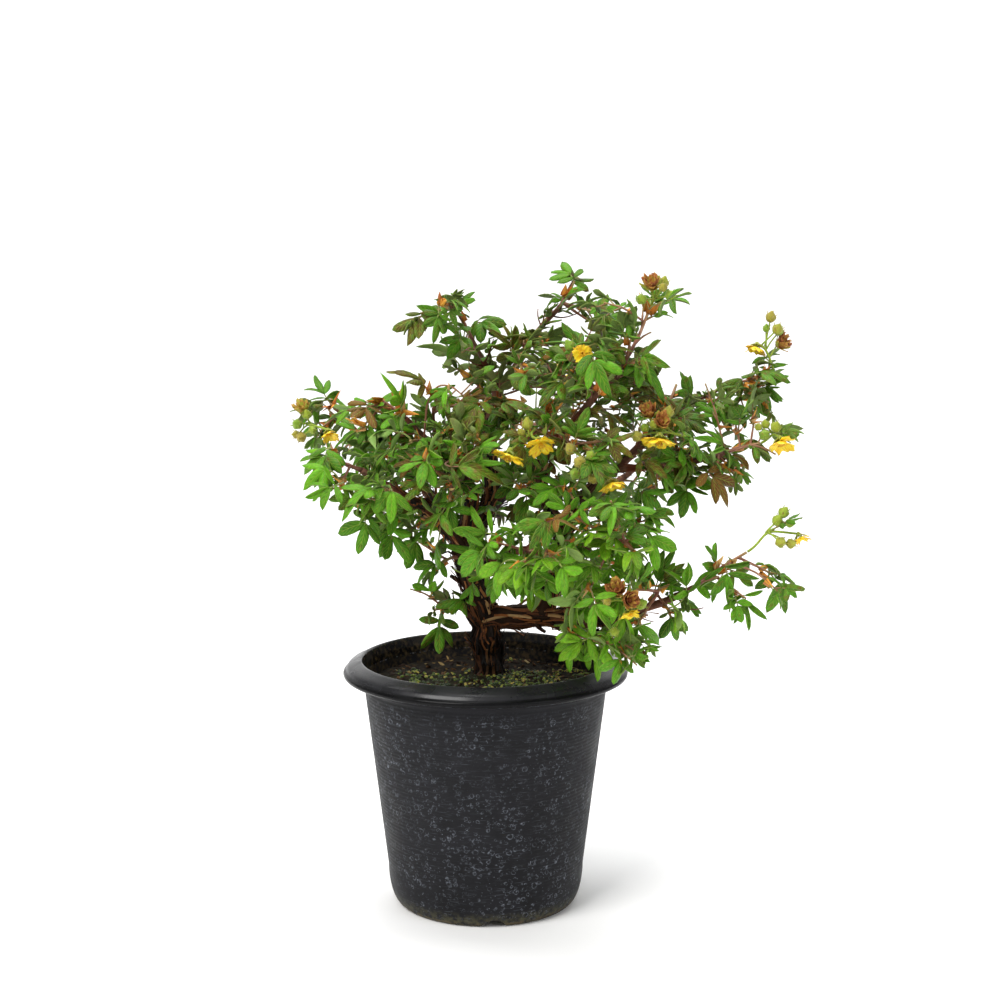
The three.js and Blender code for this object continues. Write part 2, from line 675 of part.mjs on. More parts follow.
function grownLeaf(owner, twigs, order) {
  const twig = twigs[order % twigs.length];
  const start = GROWING.shares[Math.floor(order / twigs.length) % GROWING.shares.length];
  const leaflets = order % 3 === 0 ? 5 : 3;
  for (let attempt = 0; attempt < GROWING.tries; attempt += 1) {
    const share = start - 0.02 * attempt;
    const base = rodPoint(twig, share);
    const along = rodHeading(twig, share);
    const turn = THREE.MathUtils.degToRad(GROWING.turn * (order + attempt) + 60 * random());
    const side = new THREE.Vector3(0, 0, 1).cross(along).normalize();
    const over = along.clone().cross(side);
    const outward = base.clone().sub(BUSH_MIDDLE).normalize();
    const spring = along.clone().multiplyScalar(0.6);
    spring.addScaledVector(side, 0.8 * Math.cos(turn)).addScaledVector(over, 0.8 * Math.sin(turn));
    spring.addScaledVector(outward, 0.35).normalize();
    const hub = base.clone().addScaledVector(spring, LEAF.stalk * (0.85 + 0.35 * random()));
    const aim = spring.clone().multiplyScalar(0.8).addScaledVector(outward, 0.3).addScaledVector(UP, -0.3);
    const face = outward.clone().multiplyScalar(0.8).addScaledVector(UP, 0.8);
    face.x += 0.6 * (random() - 0.5);
    face.y += 0.6 * (random() - 0.5);
    const leaf = leafAt(hub, aim, face, base, leaflets, 0.8 + 0.2 * random());
    const room = leafBeads(leaf);
    if (!blocked(owner, room)) {
      beads.push(...room.map((bead) => ({ ...bead, owner })));
      return leaf;
    }
  }
  return null;
}

// One leaf as a thin closed sheet, cut to the rib between its leaflets. Its outline is shared by
// the upper and the lower face, which are split alike, and only the ribs have a point on each.
function leafBlade(leaf) {
  const points = [];
  const faces = [];
  const edge = (x, y) => points.push(onLeaf(leaf, x, y, 0)) - 1;
  const rib = (x, y) => {
    points.push(onLeaf(leaf, x, y, LEAF.halfThickness), onLeaf(leaf, x, y, -LEAF.halfThickness));
    return [points.length - 2, points.length - 1];
  };
  const level = (corner, lower) => (Array.isArray(corner) ? corner[lower] : corner);
  const sheet = (a, b, c) => {
    faces.push(level(a, 0), level(b, 0), level(c, 0));
    faces.push(level(a, 1), level(c, 1), level(b, 1));
  };
  // A leaflet's outline runs anticlockwise from the notch on its right to the one on its left.
  const lobe = (leaflet, hub, right, left) => {
    const middle = rib(...leafletPoint(leaflet, 0.47, 0));
    const tip = edge(...leafletPoint(leaflet, 1, 0));
    const rightSide = edge(...leafletPoint(leaflet, 0.52, leaflet.width / 2));
    const leftSide = edge(...leafletPoint(leaflet, 0.52, -leaflet.width / 2));
    const outline = [hub, right, rightSide, tip, leftSide, left];
    outline.forEach((corner, i) => sheet(middle, corner, outline[(i + 1) % outline.length]));
  };
  const size = leaf.size;
  const leaflets = leafletsOf(leaf);
  const hub = rib(0, 0);
  const stalkRight = edge(0.9 * size, -1 * size);
  const stalkLeft = edge(-0.9 * size, -1 * size);
  const upper = leaf.leaflets === 5 ? rib(0, leaflets[0].start) : hub;
  const split = THREE.MathUtils.degToRad(LEAF.upperPair.turn / 2);
  const cleft = 2.7 * size;
  const endRight = edge(cleft * Math.sin(split), leaflets[0].start + cleft * Math.cos(split));
  const endLeft = edge(-cleft * Math.sin(split), leaflets[0].start + cleft * Math.cos(split));
  lobe(leaflets[0], upper, endRight, endLeft);
  if (leaf.leaflets === 5) {
    const pairRight = edge(1.4 * size, 2.2 * size);
    const pairLeft = edge(-1.4 * size, 2.2 * size);
    sheet(hub, pairRight, upper);
    sheet(hub, upper, pairLeft);
    lobe(leaflets[1], upper, pairRight, endRight);
    lobe(leaflets[2], hub, stalkRight, pairRight);
    lobe(leaflets[3], upper, endLeft, pairLeft);
    lobe(leaflets[4], hub, pairLeft, stalkLeft);
  } else {
    lobe(leaflets[1], hub, stalkRight, endRight);
    lobe(leaflets[2], hub, endLeft, stalkLeft);
  }
  stalk(leaf, points, faces, hub, stalkRight, stalkLeft);
  const geometry = new THREE.BufferGeometry().setFromPoints(points);
  geometry.setIndex(faces);
  return solid(geometry);
}

// The leaf's stalk: three sides, from a root inside the twig to the blade. Where it meets the
// blade at a sharp turn it is bent once on its way.
function stalk(leaf, points, faces, hub, right, left) {
  const back = leaf.base.clone().sub(leaf.hub);
  const inward = leaf.along.clone().negate();
  const ring = (middle, half, direction) => {
    const turn = new THREE.Quaternion().setFromUnitVectors(inward, direction.clone().normalize());
    const across = leaf.across.clone().applyQuaternion(turn);
    const over = leaf.normal.clone().applyQuaternion(turn);
    points.push(middle.clone().addScaledVector(over, half));
    points.push(middle.clone().addScaledVector(over, -half).addScaledVector(across, half));
    points.push(middle.clone().addScaledVector(over, -half).addScaledVector(across, -half));
    return { ridge: points.length - 3, right: points.length - 2, left: points.length - 1 };
  };
  const bend = leaf.hub.clone().addScaledVector(back, 0.3).addScaledVector(inward, 2.6 * leaf.size);
  const bent = back.clone().normalize().dot(inward) < 0.4;
  const root = ring(leaf.base, LEAF.rootHalfWidth, bent ? leaf.base.clone().sub(bend) : back);
  let last = root;
  if (bent) {
    last = ring(bend, LEAF.stalkHalfWidth, back.clone().normalize().add(inward));
    faces.push(root.ridge, root.right, last.right, root.ridge, last.right, last.ridge);
    faces.push(root.ridge, last.ridge, last.left, root.ridge, last.left, root.left);
    faces.push(root.right, root.left, last.left, root.right, last.left, last.right);
  }
  faces.push(last.ridge, last.right, right, last.ridge, right, hub[0]);
  faces.push(last.ridge, hub[0], left, last.ridge, left, last.left);
  faces.push(last.right, last.left, hub[1], last.right, hub[1], right, last.left, left, hub[1]);
  faces.push(root.ridge, root.left, root.right);
}

// Flower heads. Each stands on the tip of a twig: its stalk runs to a fork, and from there a
// thinner stalk to each bloom, dried flower and bud. A bloom lists its place, its size against a
// full one and how far it nods.
const HEADS = {
  left: {
    from: ['left_high', 2],
    fork: [-95, 28, 252],
    blooms: [[-83, 20, 248, 0.6, 0.85]],
    dried: [[-97, 30, 257]],
    buds: [[-100, 24, 252], [-98, 24, 245]],
  },
  middle: {
    from: ['centre_right_low', 1],
    fork: [22, -52, 254],
    blooms: [[27, -58, 252, 0.9, 0.6], [12, -57, 246, 1, 0.95]],
    dried: [],
    buds: [[21, -50, 260]],
  },
  upper: {
    from: ['centre_right_mid', 0],
    fork: [48, -44, 295],
    blooms: [[48, -50, 295, 0.62, 0.1]],
    dried: [],
    buds: [[42, -42, 298]],
  },
  centre: {
    from: ['centre_right_low', 0],
    fork: [49, -64, 243],
    blooms: [[61, -72, 234, 0.78, 0.75]],
    dried: [],
    buds: [[42, -62, 249], [44, -70, 238]],
  },
  shoulder: {
    from: ['right_inner', 0],
    fork: [88, -44, 256],
    blooms: [[86, -52, 253, 1, 0.9]],
    dried: [[82, -44, 263]],
    buds: [[75, -50, 254], [91, -42, 265]],
  },
  top: {
    from: ['centre_right_tip', 0],
    fork: [86, -18, 320],
    blooms: [],
    dried: [[84, -20, 325]],
    buds: [[90, -16, 328], [93, -24, 322]],
  },
  right_high: {
    from: ['right_high', 1],
    fork: [146, 16, 294],
    blooms: [[141, 10, 294, 0.66, 0.9]],
    dried: [[153, 18, 294]],
    buds: [[149, 16, 309], [152, 12, 303]],
  },
  right: {
    from: ['right_tip', 0],
    fork: [146, -22, 253],
    blooms: [[149, -28, 249, 0.85, 0.85]],
    dried: [],
    buds: [[141, -26, 252], [147, -25, 256]],
  },
  right_low: {
    from: ['right_low_tip', 0],
    fork: [141, -44, 206],
    blooms: [[157, -46, 203, 0.6, 0.85]],
    dried: [],
    buds: [[149, -44, 215], [147, -50, 201]],
  },
  low: {
    from: ['right_low', 3],
    fork: [68, -78, 176],
    blooms: [[70, -86, 173, 0.62, 0.85]],
    dried: [[64, -84, 182]],
    buds: [[76, -76, 175]],
  },
  back: {
    from: ['back', 0],
    fork: [45, 98, 265],
    blooms: [[48, 104, 268, 0.9, 0.8]],
    dried: [],
    buds: [[39, 96, 266]],
  },
};

// Which way a flower looks: away from its fork, out of the bush to the front or the back, and up,
// or down as far as it nods.
function flowerFace(fork, place, nod) {
  const face = place.clone().sub(fork).normalize().multiplyScalar(0.5);
  face.y += fork.y > 60 ? 0.5 : -0.5;
  face.z = nod ? -1.4 * nod : face.z + 0.4;
  return face.normalize();
}

// The main stalk of a head runs through the fork to its first flower. The others leave it one
// after another.
function headStalks({ fork, blooms, dried, buds }, twig) {
  const heading = rodHeading(twig, 1);
  const start = rodPoint(twig, 1).addScaledVector(heading, SEAT_GAP + 0.05);
  const middle = vector(fork);
  let main = null;
  let forks = 0;
  const ending = ([x, y, z, size = 1, nod = 0], sink) => {
    const flower = new THREE.Vector3(x, y, z);
    const face = flowerFace(middle, flower, nod);
    const foot = flower.clone().addScaledVector(face, -sink);
    if (!main) {
      const rise = start.clone().addScaledVector(heading, 0.3 * start.distanceTo(middle));
      main = [start, rise, middle, foot];
      return { flower, face, size, stalk: main };
    }
    forks += 1;
    return { flower, face, size, stalk: [rodPoint(main, 0.38 + 0.14 * forks), foot] };
  };
  const { seat, halfThickness } = FLOWER;
  return {
    blooms: blooms.map((place) => ending(place, seat)),
    dried: dried.map((place) => ending(place, halfThickness + SEAT_GAP + 0.15)),
    buds: buds.map((place) => ending(place, 0)),
  };
}

// A cupped star of lobes round a hub, as one thin closed sheet: petals have a width and a round
// end, and sepals run to a point. The sheet has risen by its cup where it is its reach from the hub.
function cuppedStar({ hub, face, lobes, length, width, reach, cup, turn, crumple }) {
  const normal = face.clone().normalize();
  const across = new THREE.Vector3(normal.z, 0, -normal.x).normalize();
  const along = normal.clone().cross(across);
  const points = [];
  const faces = [];
  const put = (angle, out, off, lift) => {
    const x = Math.cos(angle) * out - Math.sin(angle) * off;
    const y = Math.sin(angle) * out + Math.cos(angle) * off;
    const height = cup * (Math.hypot(x, y) / reach) ** 1.6 + lift;
    const point = hub.clone().addScaledVector(across, x).addScaledVector(along, y);
    points.push(point.addScaledVector(normal, height));
    return points.length - 1;
  };
  const thick = FLOWER.halfThickness;
  const doubled = (angle, out) => [put(angle, out, 0, thick), put(angle, out, 0, -thick)];
  const level = (corner, lower) => (Array.isArray(corner) ? corner[lower] : corner);
  const sheet = (a, b, c) => {
    faces.push(level(a, 0), level(b, 0), level(c, 0));
    faces.push(level(a, 1), level(c, 1), level(b, 1));
  };
  const middle = doubled(0, 0);
  const step = (2 * Math.PI) / lobes;
  const notches = [];
  for (let i = 0; i < lobes; i += 1) {
    notches.push(put(turn + (i - 0.5) * step, length * (width ? 0.3 : 0.42), 0, 0));
  }
  for (let i = 0; i < lobes; i += 1) {
    const angle = turn + i * step;
    const heart = doubled(angle, length * 0.55);
    const half = width / 2;
    const rise = crumple * random();
    const outline = [middle, notches[i]];
    if (width) {
      outline.push(put(angle, length * 0.66, -half, rise));
      outline.push(put(angle, length, -half * 0.45, crumple * random()));
      outline.push(put(angle, length, half * 0.45, crumple * random()));
      outline.push(put(angle, length * 0.66, half, rise));
    } else {
      outline.push(put(angle, length, 0, 0));
    }
    outline.push(notches[(i + 1) % lobes]);
    outline.forEach((corner, j) => sheet(heart, corner, outline[(j + 1) % outline.length]));
  }
  const geometry = new THREE.BufferGeometry().setFromPoints(points);
  geometry.setIndex(faces);
  return solid(geometry);
}

// A bud: an egg with five flats, its long way along its stalk.
function bud(place, face) {
  const r = FLOWER.budRadius;
  const profile = [[0, -1.1 * r], [0.9 * r, -0.5 * r], [0.8 * r, 0.6 * r], [0, 1.5 * r]];
  const geometry = turned(profile, 4);
  geometry.applyQuaternion(new THREE.Quaternion().setFromUnitVectors(UP, face));
  geometry.translate(place.x, place.y, place.z);
  return solid(geometry);
}

function flowerHead(name, plan) {
  const { blooms, dried, buds } = plan;
  const { petals, petalLength, petalWidth, sepalLength, cup, crumple, seat } = FLOWER;
  const stalks = [...blooms, ...dried, ...buds].map((flower) => flower.stalk);
  const green = stalks.map((rod, i) => tube(rod, i ? HEAD_STALK.side : HEAD_STALK.main));
  const pieces = [];
  blooms.forEach(({ flower, face, size }, i) => {
    const bell = { face, lobes: petals, reach: petalLength * size, cup };
    const calyx = { ...bell, hub: flower.clone().addScaledVector(face, -seat), turn: 0.6, crumple: 0 };
    green.push(cuppedStar({ ...calyx, length: sepalLength * size, width: 0 }));
    const corolla = { ...bell, hub: flower, turn: 0, crumple: crumple * size };
    const whole = cuppedStar({ ...corolla, length: petalLength * size, width: petalWidth * size });
    pieces.push(piece(`corolla_${name}${i ? `_${i + 1}` : ''}`, whole, YELLOW_PETAL));
  });
  buds.forEach(({ flower, face }) => green.push(bud(flower, face)));
  const { outerLength, outerCup, innerLength, innerCup, innerRise, peg } = DRIED;
  dried.forEach(({ flower, face }) => {
    const star = { face, lobes: petals, width: 0, crumple: 0 };
    const raised = flower.clone().addScaledVector(face, innerRise);
    const outer = { ...star, hub: flower, length: outerLength, reach: outerLength, cup: outerCup, turn: 0.3 };
    const inner = { ...star, hub: raised, length: innerLength, reach: innerLength, cup: innerCup, turn: 0.9 };
    const whole = fuse([cuppedStar(outer), cuppedStar(inner), tube([flower, raised], peg)]);
    pieces.push(piece(`dried_${name}`, whole, DRIED_PETAL));
  });
  pieces.push(piece(`head_${name}`, largest(fuse(green)), GREEN_STALK));
  return pieces;
}

// Assembly: the room that wood, twigs and flowers take up is marked first, then leaf by leaf.
const plant = new THREE.Group();
plant.add(pot(), soil(), piece('wood', oldWood(0), OLD_BARK));

const twigsOf = {};
for (const [name, [start, end]] of Object.entries(LIMBS)) {
  addBeads('wood', 'wood', limbRod(name), start + ROOM.wood, end + ROOM.wood);
}
for (const [name, spray] of Object.entries(SPRAYS)) {
  twigsOf[name] = sprayTwigs(spray);
  for (const twig of twigsOf[name]) {
    addBeads(name, 'twig', twig, ROOM.twigStart, ROOM.twigEnd);
  }
}
const headPlans = {};
for (const [name, head] of Object.entries(HEADS)) {
  const owner = `head_${name}`;
  const plan = headStalks(head, twigsOf[head.from[0]][head.from[1]]);
  headPlans[name] = plan;
  for (const { flower, face, size, stalk } of plan.blooms) {
    addBeads(owner, 'flower', stalk, ROOM.stalk, ROOM.stalk);
    const middle = flower.clone().addScaledVector(face, 2.5);
    beads.push({ owner, kind: 'flower', place: middle, radius: ROOM.bloom * size + 0.4 });
  }
  for (const { flower, face, stalk } of plan.dried) {
    addBeads(owner, 'flower', stalk, ROOM.stalk, ROOM.stalk);
    beads.push({ owner, kind: 'flower', place: flower.clone().addScaledVector(face, 3), radius: ROOM.dried });
  }
  for (const { flower, stalk } of plan.buds) {
    addBeads(owner, 'flower', stalk, ROOM.stalk, ROOM.stalk);
    beads.push({ owner, kind: 'flower', place: flower, radius: ROOM.bud });
  }
}

const leavesOf = {};
for (const [name, spray] of Object.entries(SPRAYS)) {
  leavesOf[name] = spray.leaves.map((place, order) => placedLeaf(name, place, order));
}
for (const [name, spray] of Object.entries(SPRAYS)) {
  for (let order = 0; order < (spray.more ?? 0); order += 1) {
    leavesOf[name].push(grownLeaf(name, twigsOf[name], order));
  }
}

const woodWithGap = oldWood(SEAT_GAP);
for (const name of Object.keys(SPRAYS)) {
  const grown = twigsOf[name].map((twig, i) => tube(twig, i ? SIDE_TWIG : MAIN_TWIG));
  for (const leaf of leavesOf[name]) {
    if (leaf) {
      grown.push(leafBlade(leaf));
    }
  }
  plant.add(piece(`spray_${name}`, largest(fuse(grown).subtract(woodWithGap)), GREEN_LEAF));
}
for (const [name, plan] of Object.entries(headPlans)) {
  plant.add(...flowerHead(name, plan));
}

export default plant;
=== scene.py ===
import functools
import math
import random

import bmesh
import bpy
from mathutils import Matrix, Vector, kdtree, noise


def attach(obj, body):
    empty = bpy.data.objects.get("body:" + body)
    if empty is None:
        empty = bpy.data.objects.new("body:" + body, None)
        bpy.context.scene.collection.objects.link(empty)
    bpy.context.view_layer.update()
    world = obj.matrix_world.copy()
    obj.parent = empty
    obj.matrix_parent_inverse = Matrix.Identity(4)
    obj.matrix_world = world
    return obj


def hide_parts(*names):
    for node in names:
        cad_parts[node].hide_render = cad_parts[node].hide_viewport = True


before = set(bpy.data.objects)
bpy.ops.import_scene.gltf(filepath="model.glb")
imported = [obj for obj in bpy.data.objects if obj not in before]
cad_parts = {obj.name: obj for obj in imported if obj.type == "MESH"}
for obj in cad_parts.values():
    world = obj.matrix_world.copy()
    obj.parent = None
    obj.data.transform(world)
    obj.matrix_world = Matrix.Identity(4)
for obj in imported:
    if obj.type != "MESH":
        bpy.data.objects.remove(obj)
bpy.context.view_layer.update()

# Nursery pot: one moulding of black polypropylene with a flared rim. Its wall keeps the fine
# ribs of the mould, its foot ring has three drain notches and its floor four drains. Hard water
# has dried on it in rings, and potting dust clings round the foot. Sizes are in millimetres.
MM = 0.001
LIP_HEIGHT = 131
LIP_RADIUS = 65.4
RIM_RADIUS = 75
RIM_BOTTOM = 121.6
WALL_TOP_RADIUS = 64.5
HEEL_HEIGHT = 21
HEEL_RADIUS = 51.9
HEEL_STEPS = 9
FOOT_RADIUS = 45
FOOT_WIDTH = 4
FOOT_HEIGHT = 3
PAD_RADIUS = 14
WALL = 1.6
INSIDE_FLOOR = 5
INSIDE_TOP = LIP_HEIGHT - 3
INSIDE_ROWS = 24
RIB_PITCH = 2.0
RIB_DEPTH = 0.1
RIB_ROWS = 4
BAND_BOTTOM = 118.2
POT_STEPS = 120
NOTCHES = 3
NOTCH_RADIUS = 7
NOTCH_HEIGHT = 4.5
NOTCH_TURN = -84.5
DRAINS = 4
DRAIN_RADIUS = 4
DRAIN_REACH = 27


def linear(colour):
    """An sRGB hex colour as the linear RGBA that a shader takes."""
    parts = [int(colour[i:i + 2], 16) / 255 for i in (1, 3, 5)]
    return [c / 12.92 if c <= 0.04045 else ((c + 0.055) / 1.055) ** 2.4 for c in parts] + [1.0]


def feed(tree, socket, value):
    """Sets a socket to a value, or links it to the output that it takes."""
    if isinstance(value, bpy.types.NodeSocket):
        tree.links.new(value, socket)
    else:
        socket.default_value = value


def add_node(tree, kind, *inputs, stops=(), out=0, **settings):
    """Adds a node with its inputs in order and its settings by name. Gives back one output."""
    node = tree.nodes.new("ShaderNode" + kind)
    for name, value in settings.items():
        if name in node.inputs:
            feed(tree, node.inputs[name], value)
        else:
            setattr(node, name, value)
    for i, value in enumerate(inputs):
        feed(tree, node.inputs[i], value)
    for i, (place, colour) in enumerate(stops):
        elements = node.color_ramp.elements
        element = elements[i] if i < 2 else elements.new(place)
        element.position = place
        element.color = linear(colour)
    return node.outputs[out]


def material(name):
    """A new material: gives back what adds a node to it and what fills its shader's sockets."""
    made = bpy.data.materials.new(name)
    made.use_nodes = True
    shader = made.node_tree.nodes["Principled BSDF"]

    def finish(**sockets):
        for socket, value in sockets.items():
            feed(made.node_tree, shader.inputs[socket.replace("_", " ")], value)
        return made
    return functools.partial(add_node, made.node_tree), finish


def thing(name, shape, materials=(), unit=MM):
    """Makes a shape an object of the scene."""
    bmesh.ops.scale(shape, vec=(unit, unit, unit), verts=shape.verts)
    mesh = bpy.data.meshes.new(name)
    shape.to_mesh(mesh)
    shape.free()
    for finish in materials:
        mesh.materials.append(finish)
    made = bpy.data.objects.new(name, mesh)
    bpy.context.scene.collection.objects.link(made)
    return made


def piece(name, shape, materials, slot, *nodes):
    """Makes a shape in millimetres one piece of the plant, which stands for the nodes named."""
    made = thing(name, shape, materials)
    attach(made, "root")
    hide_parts(*nodes)
    return made


def wall_radius(height):
    rise = (height - HEEL_HEIGHT) / (RIM_BOTTOM - HEEL_HEIGHT)
    return HEEL_RADIUS + rise * (WALL_TOP_RADIUS - HEEL_RADIUS)


def room_radius(height):
    """The radius inside the pot."""
    heel = HEEL_RADIUS - WALL
    rise = (height - HEEL_HEIGHT) / (INSIDE_TOP - HEEL_HEIGHT)
    return heel + rise * (LIP_RADIUS - 1 - heel)


def on_circle(radius, turn, height):
    return radius * math.cos(turn), radius * math.sin(turn), height


def arc(radius, height, size, start, end, steps):
    """Points on a round stretch of an outline, from one angle to another in degrees."""
    angles = [math.radians(start + (end - start) * i / steps) for i in range(steps + 1)]
    return [(radius + size * math.cos(a), height + size * math.sin(a)) for a in angles]


def pot_outline():
    """The pot's section, from the middle of its underside round the rim to its floor inside."""
    outline = [(0, 0), (PAD_RADIUS, 0), (PAD_RADIUS + 1, FOOT_HEIGHT)]
    outline += [(FOOT_RADIUS - FOOT_WIDTH, FOOT_HEIGHT), (FOOT_RADIUS - FOOT_WIDTH + 0.4, 0)]
    for i in range(HEEL_STEPS + 1):
        turn = math.radians(90 * i / HEEL_STEPS)
        bulge = (HEEL_RADIUS - FOOT_RADIUS) * math.sin(turn)
        outline.append((FOOT_RADIUS + bulge, HEEL_HEIGHT * (1 - math.cos(turn)) * 0.98 + 0.02))
    ribs = int((BAND_BOTTOM - HEEL_HEIGHT) / RIB_PITCH)
    for i in range(ribs * RIB_ROWS):
        height = HEEL_HEIGHT + (i + 0.5) * RIB_PITCH / RIB_ROWS
        wave = math.cos(2 * math.pi * height / RIB_PITCH)
        outline.append((wall_radius(height) + RIB_DEPTH * wave, height))
    band = wall_radius(BAND_BOTTOM) + 1.0
    outline += [(band - 0.7, BAND_BOTTOM), (band, BAND_BOTTOM + 0.4), (band + 0.3, RIM_BOTTOM - 0.6)]
    outline += arc(band + 1.3, RIM_BOTTOM - 0.6, 1, 180, 90, 4)
    outline += [(RIM_RADIUS - 4, RIM_BOTTOM + 0.6), (RIM_RADIUS - 2.2, RIM_BOTTOM + 0.55)]
    outline += arc(RIM_RADIUS - 1.8, RIM_BOTTOM + 2.3, 1.75, -85, 60, 9)
    outline += [(RIM_RADIUS - 1.35, 125.75), (RIM_RADIUS - 1.7, 126.1), (RIM_RADIUS - 2.1, 127.2)]
    outline += [(RIM_RADIUS - 3.1, 128.25), (RIM_RADIUS - 5, 129.2), (RIM_RADIUS - 7.2, 130.3)]
    outline += arc(LIP_RADIUS + 0.6, LIP_HEIGHT - 1.1, 1.1, 75, 180, 7)
    rows = [INSIDE_TOP - (INSIDE_TOP - HEEL_HEIGHT) * i / INSIDE_ROWS for i in range(1, INSIDE_ROWS + 1)]
    outline += [(room_radius(height), height) for height in rows]
    return outline + [(FOOT_RADIUS - 1, INSIDE_FLOOR + 3), (FOOT_RADIUS - 3, INSIDE_FLOOR), (0, INSIDE_FLOOR)]


def turned(outline, steps):
    """A closed body turned about the upright axis from an outline that starts and ends on it."""
    shape = bmesh.new()
    corners = [shape.verts.new((radius, 0, height)) for radius, height in outline]
    edges = [shape.edges.new(pair) for pair in zip(corners, corners[1:])]
    bmesh.ops.spin(
        shape, geom=corners + edges, cent=(0, 0, 0), axis=(0, 0, 1),
        angle=2 * math.pi, steps=steps, use_merge=True, use_duplicate=False,
    )
    bmesh.ops.remove_doubles(shape, verts=shape.verts, dist=0.001)
    bmesh.ops.recalc_face_normals(shape, faces=shape.faces)
    for face in shape.faces:
        face.smooth = True
    return shape


def pot_cutter():
    """The notches in the foot ring and the drains in the floor, as one shape to take away."""
    cutter = bmesh.new()
    for i in range(NOTCHES):
        turn = math.radians(NOTCH_TURN + 360 * i / NOTCHES)
        place = Matrix.Translation(on_circle(FOOT_RADIUS + 3, turn, NOTCH_HEIGHT - NOTCH_RADIUS))
        place = place @ Matrix.Rotation(turn, 4, "Z") @ Matrix.Rotation(math.pi / 2, 4, "Y")
        bmesh.ops.create_cone(
            cutter, cap_ends=True, segments=32, radius1=NOTCH_RADIUS, radius2=NOTCH_RADIUS,
            depth=4 * FOOT_WIDTH, matrix=place,
        )
    for i in range(DRAINS):
        place = Matrix.Translation(on_circle(DRAIN_REACH, math.radians(45 + 360 * i / DRAINS), FOOT_HEIGHT))
        bmesh.ops.create_cone(
            cutter, cap_ends=True, segments=24, radius1=DRAIN_RADIUS, radius2=DRAIN_RADIUS, depth=12,
            matrix=place,
        )
    return cutter


